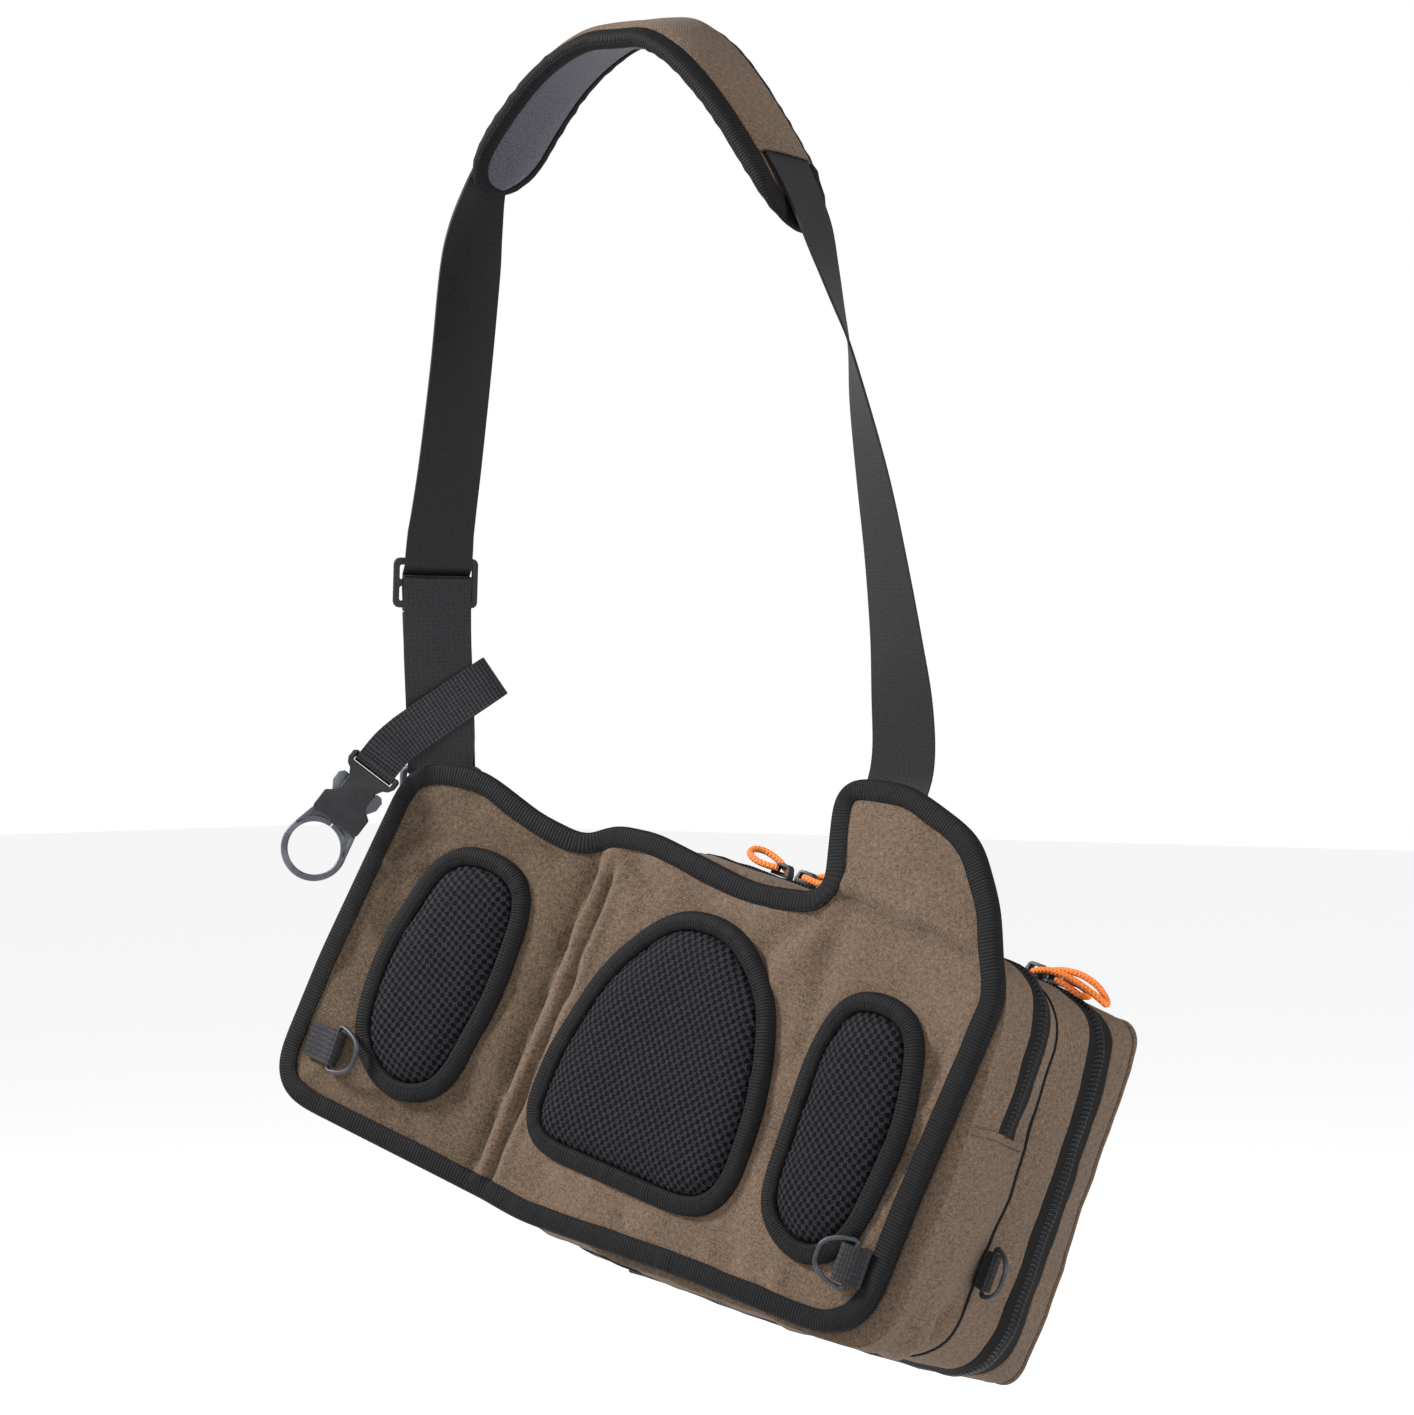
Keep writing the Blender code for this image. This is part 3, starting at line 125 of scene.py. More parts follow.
class Slump(NamedTuple):
    """A hollow or swelling in the body's skin: its middle, reach three ways and depth."""
    u: float
    t: float
    w: float
    reach_u: float
    reach_t: float
    reach_w: float
    depth: float


class Crease(NamedTuple):
    """A soft crease or ridge in cloth: its two ends, half width and depth."""
    x: float
    w: float
    end_x: float
    end_w: float
    reach: float
    depth: float


class TabSpot(NamedTuple):
    """A webbing tab: its ring's bar, the way to its root, and its length both ways."""
    wing: bool
    u: float
    t: float
    w: float
    turn: float
    length: float
    slack: float
    ring_turn: float


class Signal:
    """A shader node's output, which arithmetic turns into further nodes."""

    def __init__(self, socket: bpy.types.NodeSocket) -> None:
        """Hold the socket."""
        self.socket = socket

    def math(self, operation: str, *others: Signal | float) -> Signal:
        """Work on this signal with a Math node."""
        return add(self.socket.id_data, "Math", dict(enumerate((self, *others))), operation=operation)

    def __add__(self, other: Signal | float) -> Signal:
        """Sum."""
        return self.math("ADD", other)

    def __sub__(self, other: Signal | float) -> Signal:
        """Difference."""
        return self.math("SUBTRACT", other)

    def __rsub__(self, other: float) -> Signal:
        """Difference from a number."""
        return add(self.socket.id_data, "Math", {0: other, 1: self}, operation="SUBTRACT")

    def __mul__(self, other: Signal | float) -> Signal:
        """Product."""
        return self.math("MULTIPLY", other)

    def __abs__(self) -> Signal:
        """Size without its sign."""
        return self.math("ABSOLUTE")

    def wave(self, pitch_mm: float, kind: str = "SINE") -> Signal:
        """A wave from -1 to 1 that repeats every pitch_mm."""
        return (self * (math.tau / pitch_mm)).math(kind)

    def stepped(self, low: float, high: float) -> Signal:
        """0 below low, 1 above high, smooth between."""
        return add(self.socket.id_data, "MapRange", {0: self, 1: low, 2: high}, interpolation_type="SMOOTHSTEP")

    def mix(self, low: Signal | str, high: Signal | str) -> Signal:
        """Colour between two colours, by this share."""
        ends = [linear(end) if isinstance(end, str) else end for end in (low, high)]
        return add(self.socket.id_data, "Mix", {0: self, 6: ends[0], 7: ends[1]}, out=2, data_type="RGBA")

    def relief(self, depth_mm: float) -> Signal:
        """Normals of a surface that rises by this signal times a real depth."""
        return add(self.socket.id_data, "Bump", {"Height": self, "Distance": depth_mm * MM, "Strength": 1.0})


def linear(hex_code: str) -> tuple[float, float, float, float]:
    """Turn an sRGB hex colour into linear RGBA.

    Args:
        hex_code: Six hex digits.

    Returns:
        The linear colour, with alpha 1.
    """
    shares = [int(hex_code[k:k + 2], 16) / 255 for k in (0, 2, 4)]
    lit = [c / 12.92 if c <= 0.04045 else ((c + 0.055) / 1.055) ** 2.4 for c in shares]
    return (*lit, 1.0)


def connect(node: bpy.types.Node, inputs: dict[int | str, object]) -> None:
    """Link or set a node's inputs, by socket name or index."""
    for name, value in inputs.items():
        if isinstance(value, Signal):
            node.id_data.links.new(value.socket, node.inputs[name])
        else:
            node.inputs[name].default_value = value


def add(tree: bpy.types.NodeTree, kind: str, inputs: dict[int | str, object] | None = None, out: int | str = 0,
        **settings: object) -> Signal:
    """Add a shader node with its settings and links.

    Args:
        tree: The node tree.
        kind: The node's type after "ShaderNode".
        inputs: Socket name or index to a value or a signal.
        out: The output that is wanted.
        settings: Attributes of the node.

    Returns:
        The wanted output.
    """
    node = tree.nodes.new("ShaderNode" + kind)
    for name, value in settings.items():
        setattr(node, name, value)
    connect(node, inputs or {})
    return Signal(node.outputs[out])


class Flat:
    """The flat cloth's two coordinates, in millimetres."""

    def __init__(self, tree: bpy.types.NodeTree) -> None:
        """Read them from the piece's UV map."""
        self.tree = tree
        self.along = add(tree, "SeparateXYZ", {0: add(tree, "UVMap", uv_map=WEAVE)})
        self.across = Signal(self.along.socket.node.outputs[1])

    def mottle(self, long_mm: float, wide_mm: float, detail: float = 2.0, roughness: float = 0.5) -> Signal:
        """Noise whose blobs are long_mm by wide_mm in the cloth."""
        place = add(self.tree, "CombineXYZ", {0: self.along.math("DIVIDE", long_mm),
                                              1: self.across.math("DIVIDE", wide_mm)})
        return add(self.tree, "TexNoise", {"Vector": place, "Scale": 1.0, "Detail": detail, "Roughness": roughness})


@dataclass(frozen=True)
class Material:
    """A finish: its name, its slot in the record, and the nodes that give its look."""
    name: str = ""
    slot: str = ""

    def look(self, tree: bpy.types.NodeTree) -> dict[str, object]:
        """Inputs of the Principled BSDF."""
        raise NotImplementedError

    def build(self) -> bpy.types.Material:
        """Make the material."""
        made = bpy.data.materials.new(self.name)
        made.use_nodes = True
        connect(made.node_tree.nodes["Principled BSDF"], self.look(made.node_tree))
        return made


@dataclass(frozen=True)
class MelangeCloth(Material):
    """Matt 600-denier polyester, woven plain from mottled yarn.

    The yarn's mixed dye gives short light and dark flecks both ways, and the coarse plain
    weave a dull, slightly hairy surface with no gloss.
    """
    name: str = "melange_polyester"
    slot: str = "melange_cloth"
    dark: str = "3f342a"
    light: str = "7f6957"
    yarn: float = 1.1
    fleck: float = 3.6

    def look(self, tree: bpy.types.NodeTree) -> dict[str, object]:
        """Flecked warp and weft over a faint cloud, with the yarns raised."""
        flat = Flat(tree)
        warp = flat.mottle(self.yarn, self.fleck, 4.0, 0.7)
        weft = flat.mottle(self.fleck, self.yarn, 4.0, 0.7)
        yarns = warp * 0.5 + weft * 0.5
        cloud = add(tree, "TexNoise", {"Vector": add(tree, "TexCoord", out="Object"), "Scale": 14.0, "Detail": 3.0})
        shade = add(tree, "MapRange", {0: yarns + cloud * 0.12, 1: 0.42, 2: 0.70})
        # Real yarns are 0.6 mm wide and would vanish, so they are drawn about twice as wide
        grid = flat.along.wave(self.yarn * 2) * flat.across.wave(self.yarn * 2)
        return {"Base Color": shade.mix(self.dark, self.light), "Roughness": 0.95, "Sheen Weight": 0.08,
                "Sheen Roughness": 0.6, "Specular IOR Level": 0.15, "Normal": (grid * 0.2 + yarns).relief(0.5)}


@dataclass(frozen=True)
class BindingTape(Material):
    """Black polyester grosgrain, woven with ribs across it.

    The filled ribs catch the light one by one, so the tape reads as charcoal with fine
    bars, and a row of lockstitches runs near its inner edge.
    """
    name: str = "grosgrain_tape"
    slot: str = "binding_tape"
    black: str = "040405"
    lit: str = "1a1a1f"
    rib: float = 1.9
    stitch_row: float = 10.4
    stitch: float = 3.4

    def look(self, tree: bpy.types.NodeTree) -> dict[str, object]:
        """Ribs across the tape and a dashed line of thread along it."""
        flat = Flat(tree)
        # Real ribs are about 1 mm apart and are drawn 2 mm apart so that they show
        ribs = flat.along.wave(self.rib)
        near = abs(flat.across - self.stitch_row)
        thread = flat.along.wave(self.stitch).stepped(-0.5, -0.1) * (1.0 - near.stepped(0.35, 0.7))
        share = (ribs * 0.22 + flat.mottle(1.2, 5.0)).stepped(0.3, 0.95) * 0.75
        base = (thread * 0.8).mix(share.mix(self.black, self.lit), THREAD_AND_SHADE)
        return {"Base Color": base, "Roughness": 0.75, "Specular IOR Level": 0.25,
                "Normal": (ribs * 0.5 - thread * 1.5).relief(0.35)}


@dataclass(frozen=True)
class SpacerMesh(Material):
    """Black spacer mesh, a warp knit with rows of long open cells over dark foam.

    The knit's ribs stand up as dull grey lines round near-black open cells: dark foam, painted darker still as shade
    inside the cells.
    """
    name: str = "spacer_mesh"
    slot: str = "air_mesh"
    shaded_hole: str = "020203"
    dull: str = "1c1c20"
    rib: str = "313138"
    cell_long: float = 5.8
    cell_wide: float = 5.0
    turn: float = 0.0

    def look(self, tree: bpy.types.NodeTree) -> dict[str, object]:
        """Open cells in staggered rows that wander a little, between fuzzy ribs."""
        flat = Flat(tree)
        x, w = flat.along, flat.across
        cos, sin = math.cos(math.radians(self.turn)), math.sin(math.radians(self.turn))
        flat.along, flat.across = x * sin + w * cos, x * cos - w * sin
        flat.across = flat.across + (flat.mottle(16.0, 16.0) - 0.5) * 3.0
        cells = flat.along.wave(self.cell_long, "COSINE") * flat.across.wave(self.cell_wide, "COSINE")
        # The open cells take a near-black colour: the dark foam, with painted shade in the recess
        shaded_hole = cells.stepped(-0.02, 0.2)
        fuzz = flat.mottle(2.2, 0.7)
        lit = fuzz.stepped(0.35, 0.7).mix(self.dull, self.rib)
        return {"Base Color": shaded_hole.mix(lit, self.shaded_hole), "Roughness": 0.75, "Specular IOR Level": 0.12,
                "Normal": (fuzz * 0.3 - shaded_hole).relief(1.1)}


@dataclass(frozen=True)
class Webbing(Material):
    """Woven polyester webbing: warp yarns along it over a rib across it.

    Fine lines run both ways, and the flat yarns give a soft silky sheen.
    """
    name: str = "polyester_webbing"
    slot: str = "webbing"
    black: str = "09090b"
    lit: str = "202025"
    rib: float = 2.2
    warp: float = 3.0
    weave: float = 0.05
    rib_depth: float = 0.2
    roughness: float = 0.62
    sheen: float = 0.08

    def look(self, tree: bpy.types.NodeTree) -> dict[str, object]:
        """Ribs and warps in a fuzz of yarn."""
        flat = Flat(tree)
        weave = flat.along.wave(self.rib) * self.weave + flat.across.wave(self.warp) * (self.weave * 0.6)
        fuzz = flat.mottle(1.8, 1.1, 3.0)
        return {"Base Color": (weave + fuzz).stepped(0.2, 0.9).mix(self.black, self.lit),
                "Roughness": self.roughness, "Sheen Weight": self.sheen, "Sheen Roughness": 0.4,
                "Specular IOR Level": 0.35, "Normal": (weave + fuzz * 0.5).relief(self.rib_depth)}


@dataclass(frozen=True)
class CoilZip(Material):
    """Nylon coil zip on black herringbone tape.

    The coil's turns stand across the middle as fine shiny ridges, and the tape beside it
    is dull.
    """
    name: str = "coil_zip"
    slot: str = "zip_tape"
    black: str = "050506"
    lit: str = "2a2a30"
    pitch: float = 2.6
    middle: float = 9.0
    half_coil: float = 3.2

    def look(self, tree: bpy.types.NodeTree) -> dict[str, object]:
        """Slanting turns either side of a dark middle line, which is painted shade where the coils meet."""
        flat = Flat(tree)
        reach = abs(flat.across - self.middle)
        coil = 1.0 - reach.stepped(self.half_coil - 0.4, self.half_coil + 0.2)
        # The coil's real pitch is 1.5 mm and is drawn wider so that its turns show
        turns = (flat.along + reach * 0.35).wave(self.pitch) * coil
        # The middle line where the two coils meet takes the near-black colour as painted shade
        shaded_parting = 1.0 - reach.stepped(0.1, 0.7)
        lit = (turns.stepped(-0.2, 0.9) * 0.8).mix(self.black, self.lit)
        return {"Base Color": (shaded_parting * 0.7).mix(lit, THREAD_AND_SHADE), "Specular IOR Level": 0.3,
                "Roughness": add(tree, "MapRange", {0: coil, 3: 0.85, 4: 0.42}),
                "Normal": (turns - shaded_parting).relief(0.5)}


@dataclass(frozen=True)
class KnitLining(Material):
    """Grey-lilac warp-knit lining, brushed, with a slight sheen where it turns away."""
    name: str = "knit_lining"
    slot: str = "pad_lining_cloth"
    dark: str = "3c3c46"
    light: str = "5c5c6a"
    stitch: float = 1.9

    def look(self, tree: bpy.types.NodeTree) -> dict[str, object]:
        """A brushed nap over rows of stitches."""
        flat = Flat(tree)
        fuzz = flat.mottle(1.4, 1.4, 3.0)
        rows = flat.along.wave(self.stitch) * flat.across.wave(self.stitch)
        return {"Base Color": fuzz.stepped(0.3, 0.7).mix(self.dark, self.light), "Roughness": 0.8,
                "Sheen Weight": 0.3, "Sheen Roughness": 0.35, "Normal": (rows * 0.3 + fuzz).relief(0.3)}


@dataclass(frozen=True)
class MouldedPlastic(Material):
    """Injection-moulded acetal or ABS with a spark-eroded matt grain."""
    name: str = "moulded_plastic"
    colour: str = "1b1c1f"
    rubbed: str = "2b2c31"
    roughness: float = 0.42

    def look(self, tree: bpy.types.NodeTree) -> dict[str, object]:
        """A fine grain, rubbed lighter and duller in soft patches."""
        place = add(tree, "TexCoord", out="Object")
        grain = add(tree, "TexNoise", {"Vector": place, "Scale": 1600.0, "Detail": 2.0})
        cloud = add(tree, "TexNoise", {"Vector": place, "Scale": 120.0, "Detail": 2.0})
        rough = add(tree, "MapRange", {0: cloud, 3: self.roughness - 0.05, 4: self.roughness + 0.12})
        return {"Base Color": (cloud.stepped(0.45, 0.7) * 0.4).mix(self.colour, self.rubbed), "Roughness": rough,
                "IOR": 1.49, "Normal": grain.relief(0.12)}


@dataclass(frozen=True)
class SheathedCord(Material):
    """Orange cord with a plaited polyester sheath, slightly glossy over its plaits."""
    name: str = "sheathed_cord"
    slot: str = "orange_cord"
    bright: str = "ff8c22"
    shaded_groove: str = "f26a10"
    plait: float = 2.6

    def look(self, tree: bpy.types.NodeTree) -> dict[str, object]:
        """Plaits that cross both ways, with painted shade in the grooves between them."""
        flat = Flat(tree)
        left = (flat.along + flat.across * 0.6).wave(self.plait)
        right = (flat.along - flat.across * 0.6).wave(self.plait)
        plait = left.math("MAXIMUM", right)
        # The low grooves between the plaits take the deeper orange as painted shade
        return {"Base Color": plait.stepped(-0.3, 0.9).mix(self.shaded_groove, self.bright), "Roughness": 0.5,
                "Sheen Weight": 0.2, "Normal": plait.relief(0.25)}


@dataclass(frozen=True)
class PaleFloor(Material):
    """Matt white paper that glows softly to the camera, so the ground reads as plain white."""
    name: str = "white_paper"

    def look(self, tree: bpy.types.NodeTree) -> dict[str, object]:
        """Even white."""
        seen = add(tree, "LightPath", out="Is Camera Ray")
        return {"Base Color": (0.9, 0.9, 0.9, 1), "Roughness": 0.9, "Emission Color": (1, 1, 1, 1),
                "Emission Strength": add(tree, "MapRange", {0: seen, 3: 0.1, 4: 0.68})}


class Finish(Enum):
    """The finishes that the bag's pieces share."""
    CLOTH = MelangeCloth()
    # A darker copy of the cloth: painted shade for the wing, which turns away from the light
    SHADED_WING_CLOTH = MelangeCloth(name="melange_polyester_wing_shade", dark="30271f", light="705d4a")
    TAPE = BindingTape()
    MESH_UPRIGHT = SpacerMesh(name="spacer_mesh_mid")
    MESH_LEFT = SpacerMesh(name="spacer_mesh_left", turn=-24.0, cell_wide=5.4)
    MESH_RIGHT = SpacerMesh(name="spacer_mesh_right", turn=-14.0)
    WEBBING = Webbing()
    TAB_WEBBING = Webbing(name="tab_webbing", rib=2.0, weave=0.15, rib_depth=0.5, lit="29292f")
    CLIP_WEBBING = Webbing(name="clip_webbing_weave", rib=2.4, warp=2.2, weave=0.4, rib_depth=0.5, lit="35353b")
    LOOP_WEBBING = Webbing(name="strap_face_webbing", black="131315", lit="2e2e33", roughness=0.5, sheen=0.15)
    ZIP = CoilZip()
    FRONT_ZIP = CoilZip(name="coil_zip_front", middle=11.3)
    LINING = KnitLining()
    DARK_PLASTIC = MouldedPlastic(name="moulded_acetal_dark", slot="dark_plastic")
    GREY_PLASTIC = MouldedPlastic(name="moulded_plastic_grey", slot="grey_plastic", colour="4c4f55", rubbed="7b7f87")
    RING_PLASTIC = MouldedPlastic(name="moulded_plastic_ring", slot="ring_plastic", colour="303236", rubbed="4a4c52")
    ORANGE_CORD = SheathedCord()
    FLOOR = PaleFloor()


def ramp(x: float, low: float, high: float) -> float:
    """0 below low, 1 above high and straight between."""
    return min(1.0, max(0.0, (x - low) / (high - low)))


def table_value(table: Sequence[tuple[float, float]], x: float) -> float:
    """Straight-line value of a two-column table."""
    if x <= table[0][0]:
        return table[0][1]
    for (x0, y0), (x1, y1) in zip(table, table[1:]):
        if x <= x1:
            return y0 + (y1 - y0) * (x - x0) / (x1 - x0)
    return table[-1][1]


def smooth_curve(points: Sequence[Vector], steps: int) -> list[Vector]:
    """Catmull-Rom curve through points, with a number of steps in each span."""
    chain = [points[0] * 2 - points[1], *points, points[-1] * 2 - points[-2]]
    result = []
    for a, b, c, d in zip(chain, chain[1:], chain[2:], chain[3:]):
        for k in range(steps):
            f = k / steps
            result.append(0.5 * (2 * b + (c - a) * f + (2 * a - 5 * b + 4 * c - d) * f ** 2
                                 + (3 * b - a - 3 * c + d) * f ** 3))
    return result + [points[-1]]


def rounded_outline(corners: Sequence[Corner], step: float) -> list[Vector]:
    """Closed outline through corners, each rounded by its own radius.

    Args:
        corners: The corners in order.
        step: The turn in degrees that each short edge of a corner may take.

    Returns:
        The outline's points.
    """
    points = []
    count = len(corners)
    for index, corner in enumerate(corners):
        here = Vector((corner.x, corner.w))
        before = Vector((corners[index - 1].x, corners[index - 1].w)) - here
        after = Vector((corners[(index + 1) % count].x, corners[(index + 1) % count].w)) - here
        turn = math.pi - before.angle(after)
        reach = min(corner.radius * math.tan(turn / 2), 0.48 * before.length, 0.48 * after.length)
        start, end = here + before.normalized() * reach, here + after.normalized() * reach
        pieces = max(1, round(math.degrees(turn) / step))
        for k in range(pieces + 1):
            f = k / pieces
            points.append(start * (1 - f) ** 2 + here * 2 * f * (1 - f) + end * f * f)
    return points


def evened(points: Sequence[Vector], spacing: float) -> list[Vector]:
    """Closed outline with its points spaced evenly."""
    lengths = lengths_along(points, closed=True)
    ring = [*points, points[0]]
    count = max(8, round(lengths[-1] / spacing))
    result = []
    for k in range(count):
        s = lengths[-1] * k / count
        at = min(bisect_right(lengths, s) - 1, len(ring) - 2)
        result.append(ring[at].lerp(ring[at + 1], (s - lengths[at]) / (lengths[at + 1] - lengths[at])))
    return result


def relaxed(points: Sequence[Vector], reach: int, grow: float = 0.8) -> list[Vector]:
    """Closed outline averaged over its neighbouring points, then grown back."""
    count = len(points)
    mean = [sum((points[(k + j) % count] for j in range(-reach, reach + 1)), Vector((0, 0))) / (2 * reach + 1)
            for k in range(count)]
    return offset(mean, -grow)


def inward_normals(points: Sequence[Vector]) -> list[Vector]:
    """Unit vectors into a closed outline, lengthened at corners so that offsets stay even."""
    area = sum(a.x * b.y - b.x * a.y for a, b in zip(points, [*points[1:], points[0]]))
    side = 1.0 if area > 0 else -1.0
    normals = []
    for index, here in enumerate(points):
        back = (here - points[index - 1]).normalized()
        ahead = (points[(index + 1) % len(points)] - here).normalized()
        mean = (back + ahead).normalized()
        normals.append(Vector((-mean.y, mean.x)) * side / max(0.5, mean.dot(ahead)))
    return normals


def offset(points: Sequence[Vector], distance: float) -> list[Vector]:
    """Outline moved inwards by a distance."""
    return [p + n * distance for p, n in zip(points, inward_normals(points))]


def lengths_along(points: Sequence[Vector | tuple], closed: bool = False) -> list[float]:
    """Distance from the first point to each point, and back to the first if the line is closed."""
    total = [0.0]
    line = [Vector(p) for p in points]
    for a, b in zip(line, line[1:] + line[:closed]):
        total.append(total[-1] + (b - a).length)
    return total


def sheet_sides(width: float, steps: int) -> list[float]:
    """Flat coordinate of each point round a webbing's section: over, back and closed."""
    over = [width * k / steps for k in range(steps + 1)]
    return [*over, *reversed(over), 0.0]


def neighbours(line: Sequence[Vector], k: int, closed: bool) -> tuple[Vector, Vector]:
    """The points before and after a point of a line."""
    if closed:
        return line[k - 1], line[(k + 1) % len(line)]
    return line[max(k - 1, 0)], line[min(k + 1, len(line) - 1)]


def webbing_rings(line: Sequence[Vector], steps: int, thickness: float, place: Callable[[float, float, float], Vector],
                  closed: bool = True) -> list[list[Vector]]:
    """Sections of a webbing that follows a line.

    Args:
        line: Rows of length along, height, and the two edges across.
        steps: How many strips the width is ruled into.
        thickness: The webbing's thickness.
        place: Gives the place of a length, a height and a distance across.
        closed: Whether the line is a loop.

    Returns:
        The points round the webbing at each row.
    """
    rings = []
    for k, here in enumerate(line):
        before, after = neighbours(line, k, closed)
        way = (after - before).xy.normalized()
        side = Vector((-way.y, way.x)) * thickness / 2
        spots = [here[2] + (here[3] - here[2]) * j / steps for j in range(steps + 1)]
        rings.append([place(here[0] - side.x, here[1] - side.y, z) for z in spots]
                     + [place(here[0] + side.x, here[1] + side.y, z) for z in reversed(spots)])
    return rings


def arc(first: float, turn: float, steps: int, wide: float = 1.0, high: float = 1.0) -> list[tuple[float, float]]:
    """Points round the origin from one angle through a turn, both ends included."""
    angles = [math.radians(first + turn * k / steps) for k in range(steps + 1)]
    return [(wide * math.cos(a), high * math.sin(a)) for a in angles]


class Cloth:
    """A mesh in millimetres that knows its flat cloth coordinates."""

    def __init__(self) -> None:
        """Start an empty mesh."""
        self.mesh = bmesh.new()
        self.flat = self.mesh.loops.layers.uv.new(WEAVE)

    def sweep(self, rings: Sequence[Sequence[Vector]], along: Sequence[float], around: Sequence[float],
              closed: bool = False, caps: bool = True) -> Cloth:
        """Draw a closed section out through rings.

        Args:
            rings: The section's points at each place.
            along: The flat coordinate of each ring, with one more for a closed path.
            around: The flat coordinate of each point, with one more for the way back.
            closed: Whether the last ring joins the first.
            caps: Whether an open sweep's ends are filled.

        Returns:
            This mesh.
        """
        mesh, count = self.mesh, len(rings[0])
        where: dict[bmesh.types.BMVert, tuple[int, int]] = {}
        first = [mesh.verts.new(p) for p in rings[0]]
        where.update({v: (0, k) for k, v in enumerate(first)})
        edges = [mesh.edges.new((first[k], first[(k + 1) % count])) for k in range(count)]
        start_edges, old = edges, first
        for row, ring in enumerate(rings[1:], 1):
            grown = bmesh.ops.extrude_edge_only(mesh, edges=edges)["geom"]
            fresh = {v for v in grown if isinstance(v, bmesh.types.BMVert)}
            edges = [e for e in grown if isinstance(e, bmesh.types.BMEdge) and all(v in fresh for v in e.verts)]
            index = {v: k for k, v in enumerate(old)}
            new = [None] * count
            for vert in fresh:
                partner = next(e.other_vert(vert) for e in vert.link_edges if e.other_vert(vert) in index)
                new[index[partner]] = vert
            for k, vert in enumerate(new):
                vert.co = ring[k]
                where[vert] = (row, k)
            old = new
        rows = len(rings)
        if closed:
            bmesh.ops.bridge_loops(mesh, edges=start_edges + edges)
        elif caps:
            bmesh.ops.edgeloop_fill(mesh, edges=start_edges)
            bmesh.ops.edgeloop_fill(mesh, edges=edges)
        for face in mesh.faces:
            spots = [where.get(v) for v in face.verts]
            if None in spots:
                continue
            for loop in face.loops:
                row, k = where[loop.vert]
                if len(spots) == 4:
                    if k == 0 and any(c == count - 1 for _, c in spots):
                        k = count
                    if closed and row == 0 and any(r == rows - 1 for r, _ in spots):
                        row = rows
                loop[self.flat].uv = (along[min(row, len(along) - 1)], around[min(k, len(around) - 1)])
        bmesh.ops.recalc_face_normals(mesh, faces=mesh.faces)
        return self

    def patch(self, outline: Sequence[Vector], cell: float, thickness: float) -> Cloth:
        """Cut a flat plate from an outline and rule it into cells.

        Args:
            outline: The plate's outline in x and z.
            cell: The spacing of the cuts.
            thickness: How far the back lies behind the front along y.

        Returns:
            This mesh.
        """
        mesh = self.mesh
        mesh.faces.new([mesh.verts.new((p.x, 0, p.y)) for p in outline])
        for axis, values in ((0, [p.x for p in outline]), (2, [p.y for p in outline])):
            low, high = min(values), max(values)
            count = math.floor((high - low) / cell)
            normal = Vector((1, 0, 0)) if axis == 0 else Vector((0, 0, 1))
            for k in range(1, count + 1):
                whole = mesh.verts[:] + mesh.edges[:] + mesh.faces[:]
                bmesh.ops.bisect_plane(mesh, geom=whole, dist=0.02, plane_co=normal * (low + k * cell - 0.37),
                                       plane_no=normal)
        for face in mesh.faces:
            for loop in face.loops:
                loop[self.flat].uv = (loop.vert.co.x, loop.vert.co.z)
        grown = bmesh.ops.extrude_face_region(mesh, geom=mesh.faces[:], use_keep_orig=True)["geom"]
        for vert in grown:
            if isinstance(vert, bmesh.types.BMVert):
                vert.co.y += thickness
        bmesh.ops.recalc_face_normals(mesh, faces=mesh.faces)
        return self

    def move(self, place: Callable[[Vector], Vector]) -> Cloth:
        """Send every point through a function."""
        for vert in self.mesh.verts:
            vert.co = place(vert.co)
        return self


